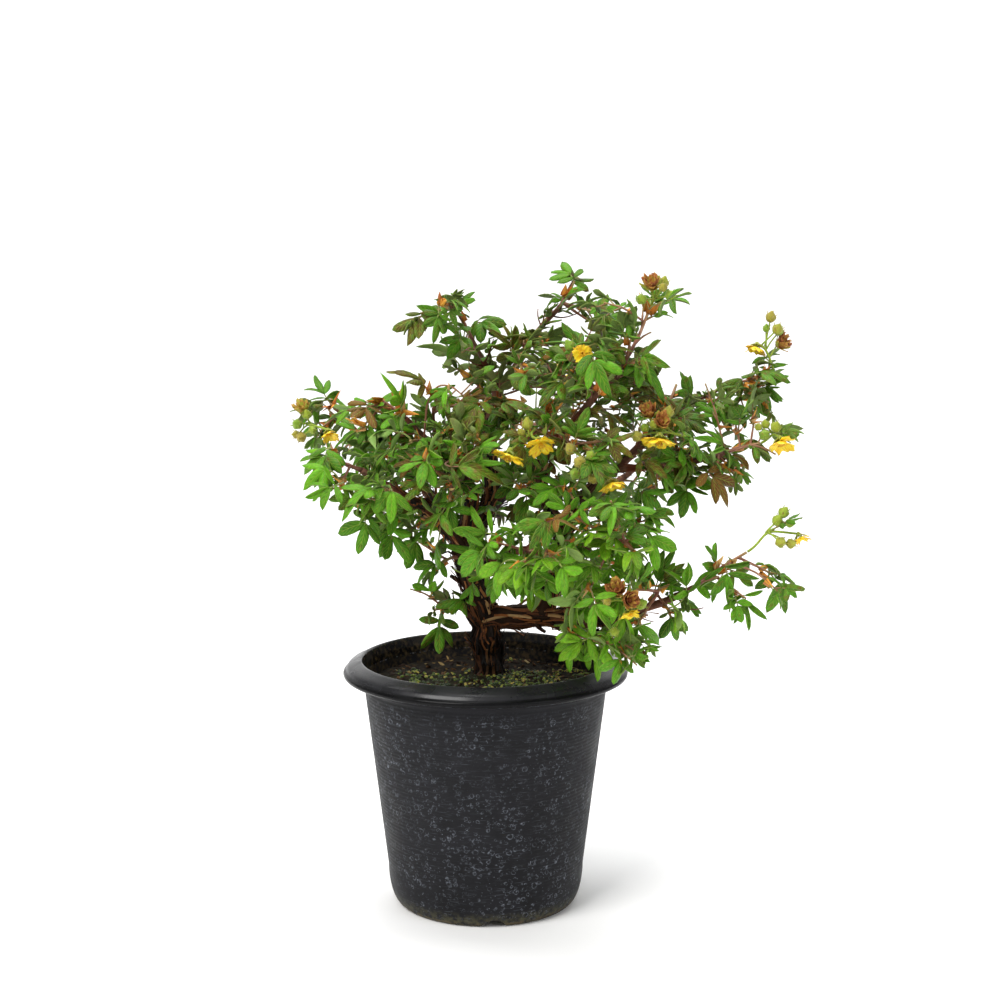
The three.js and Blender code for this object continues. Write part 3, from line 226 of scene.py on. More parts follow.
# Black polypropylene, injection moulded: a dull charcoal with a soft sheen, glossier where the
# rim was polished by handling. Pale rings and specks of dried hard water lie on the wall.
def moulded_plastic():
    add, finish = material("moulded_black_polypropylene")
    place = add("TexCoord", out="Object")
    x, y, height = add("SeparateXYZ", place).node.outputs
    drift = add("TexNoise", place, Scale=1 / (14 * MM), Detail=4.0)
    wobble, wobbles = add("TexNoise", place, Scale=1 / (1.6 * MM), Detail=2.0).node.outputs
    shifted = add("VectorMath", wobbles, (0.5, 0.5, 0.5), operation="SUBTRACT")
    bent = add("VectorMath", place, add("VectorMath", shifted, operation="SCALE", Scale=1.5 * MM))
    # Drops left rings 1.5 to 3 mm across, and spray left specks of half a millimetre.
    rings = []
    for cell, chosen, strength in ((4.3, 0.35, 0.42), (2.9, 0.35, 0.38), (2.1, 0.5, 0.3)):
        drops = add("TexVoronoi", bent, Scale=1 / (cell * MM)).node.outputs
        pick = add("SeparateColor", drops["Color"]).node.outputs
        off = add("Math", drops["Distance"], add("MapRange", pick[0], 0, 1, 0.14, 0.38), operation="SUBTRACT")
        ring = add("MapRange", add("Math", off, operation="ABSOLUTE"), 0.08, 0.02, 0, strength)
        kept = add("Math", pick[1], chosen, operation="GREATER_THAN")
        ring = add("Math", ring, kept, operation="MULTIPLY")
        rings.append(add("Math", ring, add("MapRange", wobble, 0.38, 0.62), operation="MULTIPLY"))
    marks_and_glints = functools.reduce(lambda laid, ring: add("Math", laid, ring), rings)
    specks = add("TexVoronoi", place, Scale=1 / (1.7 * MM)).node.outputs
    bright = add("MapRange", add("SeparateColor", specks["Color"], out=2), 0.5, 1, 0, 0.65)
    speck = add("Math", add("MapRange", specks["Distance"], 0.2, 0.1), bright, operation="MULTIPLY")
    marks_and_glints = add("Math", marks_and_glints, speck)
    patch = add("TexNoise", place, Scale=1 / (34 * MM), Detail=2.0)
    marks_and_glints = add("Math", marks_and_glints, add("MapRange", patch, 0.36, 0.56, 0.25, 1), operation="MULTIPLY")
    # Rubbing left fine scratches that run round the wall. Round is measured as a turn about the axis.
    around = add("Math", add("Math", y, x, operation="ARCTAN2"), 6.0, operation="MULTIPLY")
    rise = add("Math", height, 1 / (0.55 * MM), operation="MULTIPLY")
    scratch = add("TexNoise", add("CombineXYZ", around, 0, rise), Scale=1.0, Detail=4.0, Roughness=0.6)
    marks_and_glints = add("Math", marks_and_glints, add("MapRange", scratch, 0.58, 0.78, 0, 0.34))
    marks_and_glints = add("Math", marks_and_glints, add("MapRange", height, 118 * MM, 112 * MM), operation="MULTIPLY")
    # Pale dashes are painted along the rim's lower edge: painted glints of light.
    lower = add("Math", add("Math", height, 122.1 * MM, operation="SUBTRACT"), operation="ABSOLUTE")
    edge = add("MapRange", lower, 0.45 * MM, 0.15 * MM, 0, 0.8)
    edge = add("Math", edge, add("MapRange", wobble, 0.52, 0.66), operation="MULTIPLY")
    marks_and_glints = add("Math", marks_and_glints, edge)
    colour = add("ValToRGB", drift, stops=[(0.3, "#171719"), (0.7, "#202023")])
    # Handling has polished the rim's nose. Its colour is painted near black: painted shade where it faces
    # away from the light, and a painted dark reflection.
    under = add("MapRange", height, 126.3 * MM, 125.3 * MM, 0, 0.75)
    painted_nose_shade = add("Math", under, add("MapRange", height, 121.2 * MM, 121.6 * MM), operation="MULTIPLY")
    colour = add("MixRGB", painted_nose_shade, colour, linear("#050505"))
    # One pale grey lays the water marks and scratches, and the painted glints on the rim's edge.
    colour = add("MixRGB", marks_and_glints, colour, linear("#7c828c"))
    # Tan potting dust on the lowest 9 mm, thickest at the foot's edge.
    grain = add("TexNoise", place, Scale=1 / (2.5 * MM), Detail=5.0)
    low = add("MapRange", height, 9 * MM, 0, 0, 0.9)
    dust = add("Math", low, add("MapRange", grain, 0.38, 0.6), operation="MULTIPLY")
    colour = add("MixRGB", dust, colour, linear("#5a5740"))
    # Inside, soil water dried to brown stains. The wall's two sides part at a radius that grows
    # with height.
    reach = add("Math", y, y, add("Math", x, x, operation="MULTIPLY"), operation="MULTIPLY_ADD")
    reach = add("Math", reach, operation="SQRT")
    slope = (room_radius(LIP_HEIGHT) - room_radius(HEEL_HEIGHT)) / (LIP_HEIGHT - HEEL_HEIGHT)
    skin = add("Math", height, slope, (room_radius(0) + 0.5) * MM, operation="MULTIPLY_ADD")
    within = add("Math", reach, skin, operation="LESS_THAN")
    stain = add("Math", add("MapRange", grain, 0.44, 0.7, 0, 0.8), within, operation="MULTIPLY")
    rim = add("MapRange", height, 120 * MM, 123 * MM, 0.52, 0.27)
    fine = add("TexNoise", place, Scale=1 / (0.7 * MM), Detail=3.0)
    return finish(
        IOR=1.49, Base_Color=add("MixRGB", stain, colour, linear("#584a34")),
        Roughness=add("Math", rim, add("MapRange", drift, 0.35, 0.7, -0.07, 0.1)),
        Specular_IOR_Level=add("MapRange", height, 125.6 * MM, 126.4 * MM, 0.1, 0.34),
        Normal=add("Bump", Height=fine, Strength=0.12, Distance=0.2 * MM),
    )


pot = piece("pot_moulding", turned(pot_outline(), POT_STEPS), [moulded_plastic()], "pot_plastic", "pot")
cutter = thing("pot_cutter", pot_cutter())
cut = pot.modifiers.new("notches_and_drains", "BOOLEAN")
cut.object = cutter
bpy.context.view_layer.update()
whole_mesh = pot.data
pot.data = bpy.data.meshes.new_from_object(pot.evaluated_get(bpy.context.evaluated_depsgraph_get()))
pot.modifiers.clear()
bpy.data.meshes.remove(whole_mesh)
bpy.data.meshes.remove(cutter.data)

# Root ball: bark-based potting soil filled to a finger's width under the lip. Its top is lumpy,
# with chips of bark and cushions of moss that grew on it. The old trunk stands in the middle.
SOIL_TOP = 116.6
SOIL_MOUND = 1.6
SOIL_ROUGHNESS = 0.8
SOIL_CRUMB = 1.5
SOIL_STEPS = 100
SOIL_ROWS = 46
TRUNK_PLACE = Vector((1, 14, 0))
TRUNK_REACH = 10
TRUNK_MOUND = 18


def soil_height(x, y):
    reach = math.hypot(x, y) / room_radius(SOIL_TOP)
    turn = math.atan2(y, x)
    lumps = math.sin(3 * turn + 1) * reach + math.sin(5 * turn - 6 * reach) * reach + math.sin(9 * reach)
    crumb = noise.fractal(Vector((x / 4, y / 4, 0.5)), 1.0, 2.0, 4) * SOIL_CRUMB
    near_trunk = max(0, 1 - (Vector((x, y, 0)) - TRUNK_PLACE).length / TRUNK_MOUND)
    return SOIL_TOP + SOIL_MOUND * (1 - reach) + SOIL_ROUGHNESS * lumps / 2 + crumb + 3 * near_trunk**2


def soil_shape():
    edge = room_radius(SOIL_TOP) - 0.4
    outline = [(0, INSIDE_FLOOR + 0.3), (FOOT_RADIUS - 3.6, INSIDE_FLOOR + 0.3)]
    outline.append((room_radius(HEEL_HEIGHT) - 0.5, HEEL_HEIGHT))
    outline += [(edge * (1 - i / SOIL_ROWS), SOIL_TOP) for i in range(SOIL_ROWS + 1)]
    shape = turned(outline, SOIL_STEPS)
    for corner in shape.verts:
        if corner.co.z > SOIL_TOP - 1:
            corner.co.z = soil_height(corner.co.x, corner.co.y)
    return shape


# Composted bark soil: near black where damp, with brown fibres. It is dull and crumbly.
def potting_soil():
    add, finish = material("composted_bark_soil")
    place = add("TexCoord", out="Object")
    lumps = add("TexNoise", place, Scale=1 / (3 * MM), Detail=6.0, Roughness=0.7)
    tones = [(0.32, "#080603"), (0.5, "#161008"), (0.64, "#2b2111"), (0.78, "#54472a")]
    # A green film of young moss lies on the front of the soil, where the light reaches it.
    front = add("MapRange", add("SeparateXYZ", place, out=1), 26 * MM, 6 * MM)
    film = add("MapRange", add("TexNoise", place, Scale=1 / (5 * MM), Detail=4.0), 0.4, 0.6, 0.1, 0.7)
    film = add("Math", film, front, operation="MULTIPLY")
    return finish(
        Base_Color=add("MixRGB", film, add("ValToRGB", lumps, stops=tones), linear("#26280c")),
        Roughness=0.95, Specular_IOR_Level=0.25,
        Normal=add("Bump", Height=lumps, Strength=0.9, Distance=1 * MM),
    )


piece("root_ball", soil_shape(), [potting_soil()], "potting_soil", "soil")

# Chips of bark and dead stalk that lie on the soil: flat broken bits a few millimetres long.
CHIPS = 420
chip_dice = random.Random(11)


def started(*layers, mapped=False):
    """A new shape whose faces hold a value on each layer. A mapped one has a UV map too."""
    shape = bmesh.new()
    if mapped:
        shape.loops.layers.uv.new("UVMap")
    for layer in layers:
        shape.faces.layers.float.new(layer)
    return shape


def paint(shape, made, finish=0, smooth=True, **values):
    """Gives the faces of what was just made their finish and their values on the shape's layers."""
    held = [(shape.faces.layers.float[layer], value) for layer, value in values.items()]
    faces = {face for corner in made["verts"] for face in corner.link_faces}
    for face in faces:
        face.material_index = finish
        face.smooth = smooth
        for layer, value in held:
            face[layer] = value
    return faces


def scattered(draw, *limits):
    return Vector([draw(*limits) for _ in range(3)])


def chip_shape():
    shape = started("tone")
    for _ in range(CHIPS):
        reach = (room_radius(SOIL_TOP) - 4) * math.sqrt(chip_dice.random())
        x, y, _ = on_circle(reach, chip_dice.uniform(0, 2 * math.pi), 0)
        if (Vector((x, y, 0)) - TRUNK_PLACE).length < TRUNK_REACH:
            continue
        made = bmesh.ops.create_cube(shape, size=1)
        sizes = [chip_dice.uniform(*limits) for limits in ((1.2, 4.6), (0.6, 1.8), (0.3, 0.9))]
        for corner in made["verts"]:
            corner.co += 0.22 * scattered(chip_dice.uniform, -1, 1)
            corner.co = [value * size for value, size in zip(corner.co, sizes)]
        spin = Matrix.Rotation(chip_dice.uniform(0, 2 * math.pi), 4, "Z")
        tilt = Matrix.Rotation(chip_dice.gauss(0, 0.35), 4, "Y")
        place = Matrix.Translation((x, y, soil_height(x, y) + 0.25))
        bmesh.ops.transform(shape, matrix=place @ spin @ tilt, verts=made["verts"])
        paint(shape, made, smooth=False, tone=chip_dice.random())
    return shape


def plant_matter(name, tones, grain, relief, layer="age", drift=None, stain=None, darks=None, **sockets):
    """A material whose tone each face picks, mottled by a grain.

    The grain is its detail with its size in millimetres, or with the scale of fibres on the UV map.
    Relief is how strongly and how deep it stands out. Drift, stain and darks map the grain to a
    shift of the tone, to a share of another colour and to a shade.
    """
    add, finish = material(name)
    detail, *scale = grain
    if len(scale) > 1:
        fibres = add("Mapping", add("UVMap", uv_map="UVMap"), Scale=scale)
        cloud = add("TexNoise", fibres, Scale=1.0, Detail=detail)
    else:
        cloud = add("TexNoise", add("TexCoord", out="Object"), Scale=1 / (scale[0] * MM), Detail=detail)
    tone = add("Attribute", attribute_name=layer, out="Fac")
    if drift:
        tone = add("Math", tone, add("MapRange", cloud, *drift))
    colour = add("ValToRGB", tone, stops=tones)
    if stain:
        *shares, other = stain
        colour = add("MixRGB", add("MapRange", cloud, *shares), colour, linear(other))
    if darks:
        colour = add("VectorMath", colour, operation="SCALE", Scale=add("MapRange", cloud, *darks))
    strength, depth = relief
    bump = add("Bump", Height=cloud, Strength=strength, Distance=depth * MM)
    return finish(Base_Color=colour, Normal=bump, **sockets)


# Broken pine bark: brown to tan, some of it weathered pale. Each chip has its own tone.
broken_bark = plant_matter(
    "broken_pine_bark", [(0, "#1c110a"), (0.45, "#372211"), (0.76, "#5f4326"), (0.94, "#8d7446"),
                         (1, "#a8966e")],
    (4, 1), (0.6, 0.3), "tone", darks=(0.3, 0.7, 0.5, 1.1), Roughness=0.9, Specular_IOR_Level=0.3,
)
piece("bark_chips", chip_shape(), [broken_bark], "potting_soil")

# Moss: small cushions of feathery moss and liverwort on the damp soil, most of them in front,
# where light comes in under the leaves, and few on the left. Each is a cluster of small tips.
CUSHIONS = 340
CUSHION_SPREAD = 2.3
TIPS = 10
MOSS_TIP = 0.62
BACK_MOSS = 0.04
MOSS_EDGE = 27
MOSS_SIDE = -46
moss_dice = random.Random(5)


def joined(parts):
    """Small shapes put together as one: far quicker than to grow them all in the same shape."""
    whole = bmesh.new()
    for part in parts:
        mesh = bpy.data.meshes.new("part")
        part.to_mesh(mesh)
        part.free()
        whole.from_mesh(mesh)
        bpy.data.meshes.remove(mesh)
    return whole


def moss_cushion(middle_x, middle_y, shade):
    shape = started("tone")
    for _ in range(TIPS):
        x = middle_x + moss_dice.gauss(0, CUSHION_SPREAD)
        y = middle_y + moss_dice.gauss(0, CUSHION_SPREAD)
        if math.hypot(x, y) > room_radius(SOIL_TOP) - 1.5:
            continue
        size = MOSS_TIP * moss_dice.uniform(0.6, 1.6)
        made = bmesh.ops.create_icosphere(shape, subdivisions=1, radius=size)
        for corner in made["verts"]:
            corner.co.z *= 0.8
            corner.co *= moss_dice.uniform(0.8, 1.2)
        bmesh.ops.translate(shape, vec=(x, y, soil_height(x, y) + 0.3 * size), verts=made["verts"])
        paint(shape, made, tone=min(1, max(0, shade + moss_dice.gauss(0, 0.16))))
    return shape


def moss_shape():
    cushions = []
    for _ in range(CUSHIONS):
        reach = (room_radius(SOIL_TOP) - 3) * math.sqrt(moss_dice.random())
        x, y, _ = on_circle(reach, moss_dice.uniform(0, 2 * math.pi), 0)
        shade = moss_dice.random()
        if (y < MOSS_EDGE and x > MOSS_SIDE) or moss_dice.random() < BACK_MOSS:
            cushions.append(moss_cushion(x, y, shade))
    return joined(cushions)


# Living moss: deep green to yellow green, matt and velvety, so its edges look soft.
living_moss = plant_matter(
    "living_moss", [(0, "#18260a"), (0.4, "#34490f"), (0.68, "#5e701c"), (0.88, "#8f8c2e"),
                    (1, "#ac9c48")],
    (3, 0.5), (0.8, 0.3), "tone", Roughness=0.9, Specular_IOR_Level=0.3, Sheen_Weight=0.3,
)
piece("moss_cushions", moss_shape(), [living_moss], "potting_soil")

# Old wood: trunk, side branch and limbs of a bush many years old, grown as one piece. Each limb
# lists its radius where it starts and where it ends, then the points that its middle runs through.
LIMBS = {
    "trunk": (8.6, 5.4, [(1, 14, 97), (1, 14, 119), (1, 13, 132), (0, 10, 147), (-4, 6, 162), (-8, 2, 176),
        (-12, -2, 190)]),
    "side_branch": (6, 4.4, [(0, 9, 151), (14, 5, 153), (29, 0, 153), (42, -4, 153), (51, -12, 153)]),
    "second_trunk": (5.4, 3.4, [(31, 0, 153), (34, 3, 165), (37, 4, 179), (40, 2, 193), (44, 0, 205),
        (48, 0, 214)]),
    "left_low_limb": (4.2, 1.6, [(-12, -2, 190), (-19, -8, 201), (-29, -16, 213), (-40, -24, 219),
        (-51, -30, 227), (-62, -34, 235)]),
    "left_mid_limb": (4, 1.5, [(-12, -2, 190), (-9, 0, 204), (-6, 2, 218), (-14, -2, 229), (-23, -6, 239),
        (-31, -10, 248), (-41, -14, 259)]),
    "left_back_limb": (3.6, 1.5, [(-12, -2, 190), (-19, 20, 201), (-33, 38, 215), (-47, 50, 228),
        (-63, 56, 237)]),
    "centre_limb": (4.4, 2.2, [(-12, -2, 190), (-3, 12, 202), (4, 20, 217), (2, 24, 236), (0, 24, 252),
        (6, 22, 266), (9, 20, 275)]),
    "upper_left_limb": (2, 1.4, [(6, 22, 266), (3, 20, 279), (-1, 18, 286)]),
    "top_limb": (2.2, 1.3, [(9, 20, 273), (15, 24, 281), (22, 28, 293), (31, 32, 305), (39, 34, 313)]),
    "back_limb": (3.4, 1.5, [(-4, 10, 200), (8, 45, 211), (19, 66, 228), (30, 76, 243)]),
    "centre_right_limb": (3.4, 1.5, [(40, 2, 193), (32, -8, 213), (27, -14, 231), (32, -18, 245),
        (45, -24, 258), (57, -28, 274), (66, -28, 281)]),
    "right_mid_limb": (3.2, 1.4, [(48, 0, 212), (57, 8, 221), (68, 14, 229), (81, 18, 240), (93, 22, 250),
        (105, 24, 260), (113, 24, 265)]),
    "right_limb": (2.2, 1.3, [(68, 14, 229), (86, 0, 232), (101, -10, 235), (115, -16, 239)]),
    "right_back_limb": (3, 1.4, [(44, 0, 205), (57, 35, 210), (75, 60, 218), (91, 74, 229)]),
    "right_low_limb": (3.4, 1.6, [(49, -10, 153), (62, -24, 156), (74, -32, 162), (90, -38, 168),
        (97, -40, 172), (104, -42, 176)]),
    "front_limb": (3, 1.4, [(-8, 2, 176), (4, -25, 188), (15, -48, 196), (27, -66, 201)]),
    "front_right_limb": (3, 1.4, [(37, 4, 179), (47, -28, 192), (57, -55, 203), (65, -72, 211)]),
    "low_front_limb": (2.4, 1.4, [(49, -10, 153), (54, -34, 153), (57, -50, 151)]),
    "low_back_limb": (2.6, 1.3, [(34, 3, 165), (46, 40, 165), (58, 70, 168)]),
    "low_left_limb": (1.8, 1, [(-3, 9, 148), (-13, 2, 157), (-21, -3, 161)]),
}
LIMB_ROW = 2.2
LIMB_SIDES = 14
THIN_LIMB_SIDES = 8
OLD_RADIUS = 5.0
BARE_LIMBS = ("trunk", "side_branch")
DARKER_BELOW = (128 * MM, 149 * MM)


def rod_length(rod):
    return sum((b - a).length for a, b in zip(rod, rod[1:]))


def rod_point(rod, share):
    """A point on a rod, which is a list of points, with its start at 0 and its end at 1."""
    reach = share * (len(rod) - 1)
    i = min(int(reach), len(rod) - 2)
    return rod[i].lerp(rod[i + 1], reach - i)


def rod_heading(rod, share):
    i = min(int(share * (len(rod) - 1)), len(rod) - 2)
    return (rod[i + 1] - rod[i]).normalized()


def eased(rod, spacing, rounds=3):
    """The same rod with a point about every spacing and its corners rounded."""
    fine = []
    for a, b in zip(rod, rod[1:]):
        steps = max(1, round((b - a).length / spacing))
        fine += [a.lerp(b, i / steps) for i in range(steps)]
    fine.append(rod[-1].copy())
    for _ in range(rounds):
        middle = [(a + 2 * b + c) / 4 for a, b, c in zip(fine, fine[1:], fine[2:])]
        fine = [fine[0]] + middle + [fine[-1]]
    return fine


def frames_along(rod):
    """At each point of a rod: the point, and two directions square to the rod and each other."""
    last = len(rod) - 1
    side = (rod[1] - rod[0]).orthogonal()
    frames = []
    for i, point in enumerate(rod):
        heading = (rod[min(i + 1, last)] - rod[max(i - 1, 0)]).normalized()
        side = (side - heading * side.dot(heading)).normalized()
        frames.append((point, side, heading.cross(side)))
    return frames


def sheet(shape, columns, rows, bend, finish=0, size=None, **values):
    """A flat grid bent into place: bend gives the place of a corner from its two shares.

    The shares run from -0.5 to 0.5. The UV map runs to 1, or to a size in millimetres.
    """
    made = bmesh.ops.create_grid(shape, x_segments=columns, y_segments=rows, size=0.5, calc_uvs=True)
    faces = paint(shape, made, finish, **values)
    uv = shape.loops.layers.uv.active
    for loop in [loop for face in faces for loop in face.loops] if uv and size else ():
        loop[uv].uv = (loop[uv].uv.x * size[0], loop[uv].uv.y * size[1])
    for corner in made["verts"]:
        corner.co = bend(corner.co.x, corner.co.y)
    return faces


def tube(shape, rod, radius_at, sides, finish=0, **values):
    """A closed tube: a sheet rolled round a rod. Its UV map holds millimetres round and along."""
    frames = frames_along(rod)
    last = len(rod) - 1
    rows = last + 2

    def roll(x, y):
        turn = 2 * math.pi * ((x + 0.5) % 1)
        row = round((y + 0.5) * rows) - 1
        point, across, over = frames[min(max(row, 0), last)]
        radius = radius_at(row / last, turn) if 0 <= row <= last else 0
        return point + radius * (math.cos(turn) * across + math.sin(turn) * over)
    size = (2 * math.pi * radius_at(0.3, 0), rod_length(rod))
    return sheet(shape, sides, rows, roll, finish, size, **values)


def close(shape):
    """Welds the seams and ends of rolled sheets and turns every face outwards."""
    bmesh.ops.remove_doubles(shape, verts=shape.verts, dist=0.0004)
    bmesh.ops.recalc_face_normals(shape, faces=shape.faces)
    return shape


def limb_rod(name):
    return [Vector(place) for place in LIMBS[name][2]]


def gnarled(start, end, length, grain):
    """The radius of a limb, with long ridges and knots in its bark."""
    def radius_at(share, turn):
        radius = start + (end - start) * share
        along = share * length
        x, y, _ = on_circle(1, turn, 0)
        ridge = noise.noise(Vector((2.6 * x, 2.6 * y, along / 15 + grain)))
        knot = noise.noise(Vector((x, y, along / 8 + 7 * grain)))
        return radius * (1 + 0.26 * ridge + (0.42 if start > 5 else 0.24) * knot)
    return radius_at


limb_rods = {name: eased(limb_rod(name), LIMB_ROW) for name in LIMBS}


def old_wood_shape():
    shape = started("age")
    age = shape.faces.layers.float["age"]
    for grain, (name, (start, end, _)) in enumerate(LIMBS.items()):
        rod = limb_rods[name]
        sides = LIMB_SIDES if start > 4 else THIN_LIMB_SIDES
        for face in tube(shape, rod, gnarled(start, end, len(rod) * LIMB_ROW, grain), sides):
            far = min(1, max(0, (face.calc_center_median() - rod[0]).length / (rod[-1] - rod[0]).length))
            face[age] = min(1, (start + (end - start) * far) / OLD_RADIUS)
    return shape


# Bare twiglets: dead ends of shoots that stayed on the limbs, thin and grey brown. Thicker stubs of
# dead branches stand on the trunk and the side branch.
TWIGLETS = 90
STUBS = 16
twiglet_dice = random.Random(23)


def add_twiglets(shape):
    names = [name for name in LIMBS if name not in BARE_LIMBS]
    for number in range(TWIGLETS + STUBS):
        stub = number >= TWIGLETS
        rod = limb_rods[twiglet_dice.choice(BARE_LIMBS if stub else names)]
        share = twiglet_dice.uniform(0.1, 0.95)
        start = rod_point(rod, share)
        heading = rod_heading(rod, share)
        away = scattered(twiglet_dice.gauss, 0, 1)
        away = (away - away.dot(heading) * heading).normalized() + 0.5 * heading
        length = twiglet_dice.uniform(9, 16) if stub else twiglet_dice.uniform(6, 20)
        bend = start + away * length * 0.5 + scattered(twiglet_dice.gauss, 0, 1)
        tip = start + away.lerp(heading, 0.3) * length
        size = twiglet_dice.uniform(1.2, 2.6) if stub else twiglet_dice.uniform(0.35, 0.65)
        rod = eased([start, bend, tip], 2.5)
        tube(shape, rod, lambda share, turn: size * (1 - 0.5 * share), 5, age=1 if stub else 0.4)


# Bark of old wood: orange brown in patches, near black in its hollows, and darker towards the soil.
# Thinner limbs are redder and paler.
def old_bark():
    add, finish = material("fibrous_old_bark")
    place = add("TexCoord", out="Object")
    ageing = add("MapRange", add("Attribute", attribute_name="age", out="Fac"), 0.45, 0.8)
    colour = add("MixRGB", ageing, linear("#6f4c3c"), linear("#342317"))
    patch = add("TexNoise", place, Scale=1 / (8 * MM), Detail=3.0)
    rust = add("MapRange", patch, 0.5, 0.64, 0, 0.75)
    colour = add("MixRGB", rust, colour, linear("#a4622c"), blend_type="OVERLAY")
    # The bark darkens towards the soil, from 149 mm down to 128 mm.
    lighter_above = add("MapRange", add("SeparateXYZ", place, out=2), *DARKER_BELOW, 0.25, 1)
    shade = add("Math", lighter_above, add("MapRange", patch, 0.34, 0.48, 0.4, 1), operation="MULTIPLY")
    colour = add("VectorMath", colour, operation="SCALE", Scale=shade)
    return finish(Base_Color=colour, Roughness=0.88, Specular_IOR_Level=0.2)


wood_shape = old_wood_shape()
add_twiglets(wood_shape)
piece("old_wood", close(wood_shape), [old_bark()], "old_bark", "wood")

# Peeling bark: thin papery strips that split from the old wood and curl away at their ends.
STRIP_ROWS = 6
STRIP_THICKNESS = 0.22
STRIPS_PER_AREA = 0.062
STRIPPED_RADIUS = 2.4
BRIGHT_STRIPS = 1.8
THROWN_OUT = 0.8
strip_dice = random.Random(31)


def thickened(shape, faces, thickness):
    """Gives a sheet its thickness. A corner thrown out at a sharp fold goes back to its neighbour."""
    sheet_places = kdtree.KDTree(len(shape.verts))
    for i, corner in enumerate(shape.verts):
        sheet_places.insert(corner.co, i)
    sheet_places.balance()
    made = bmesh.ops.solidify(shape, geom=faces, thickness=thickness)
    thrown = {corner for corner in shape.verts if sheet_places.find(corner.co)[2] > THROWN_OUT}
    for corner in thrown:
        kept = [near for edge in corner.link_edges if (near := edge.other_vert(corner)) not in thrown]
        corner.co = kept[0].co if kept else sheet_places.find(corner.co)[0]
    return {part for part in made["geom"] if isinstance(part, bmesh.types.BMFace)}


def strip_shape(frames, radius, radius_at, share, bright):
    shape = started("tone")
    length = strip_dice.uniform(8, 30) * min(1, radius / 5 + 0.25) * bright**0.5
    width = strip_dice.uniform(0.4, 1.7) * min(1, radius / 5 + 0.3)
    start = strip_dice.uniform(0, 2 * math.pi)
    twist = strip_dice.gauss(0, 0.3)
    wave = strip_dice.uniform(0, 2 * math.pi)
    curls = [abs(strip_dice.gauss(0, 1.2)), abs(strip_dice.gauss(0, 2.2))]

    def bend(x, along):
        level = min(1, max(0, share + along * length / (len(frames) * LIMB_ROW)))
        at = level * (len(frames) - 1)
        i = min(int(at), len(frames) - 2)
        point = frames[i][0].lerp(frames[i + 1][0], at - i)
        turn = start + twist * along + 0.12 * math.sin(6 * along + wave)
        turn += x * width * (1 - 1.2 * along**2) / radius
        lift = curls[0] * max(0, -2 * along) ** 3 + curls[1] * max(0, 2 * along) ** 2.5
        reach = radius_at(level, turn) + 0.3 + lift
        return point + reach * (math.cos(turn) * frames[i][1] + math.sin(turn) * frames[i][2])
    sheet(shape, 2, STRIP_ROWS, bend, tone=1 - strip_dice.random() / bright)
    thickened(shape, shape.faces[:], STRIP_THICKNESS)
    return shape


def peeling_shape():
    strips = []
    for grain, (name, (start, end, _)) in enumerate(LIMBS.items()):
        rod = limb_rods[name]
        frames = frames_along(rod)
        radius_at = gnarled(start, end, len(rod) * LIMB_ROW, grain)
        bright = BRIGHT_STRIPS if name == "side_branch" else 1
        area = 2 * math.pi * (start + end) / 2 * len(rod) * LIMB_ROW
        for _ in range(int(area * STRIPS_PER_AREA / bright) if start > STRIPPED_RADIUS else 0):
            share = strip_dice.uniform(0.06, 0.94)
            radius = start + (end - start) * share
            if radius > STRIPPED_RADIUS and rod_point(rod, share).z > SOIL_TOP + 3:
                strips.append(strip_shape(frames, radius, radius_at, share, bright))
    return joined(strips)


# Papery outer bark: dark brown to orange brown, a few strips pale tan, and darker towards the soil.
def papery_bark():
    add, finish = material("papery_peeling_bark")
    tone = add("ValToRGB", add("Attribute", attribute_name="tone", out="Fac"), stops=[
        (0, "#120b06"), (0.42, "#2b1a10"), (0.66, "#6a3d1f"), (0.85, "#a8652f"), (1, "#c29a68")])
    # The strips darken towards the soil, from 149 mm down to 128 mm.
    lighter_above = add("MapRange", add("SeparateXYZ", add("TexCoord", out="Object"), out=2), *DARKER_BELOW, 0.187, 0.85)
    colour = add("VectorMath", tone, operation="SCALE", Scale=lighter_above)
    return finish(Base_Color=colour, Roughness=0.8, Specular_IOR_Level=0.35)


piece("peeling_bark", peeling_shape(), [papery_bark()], "old_bark")

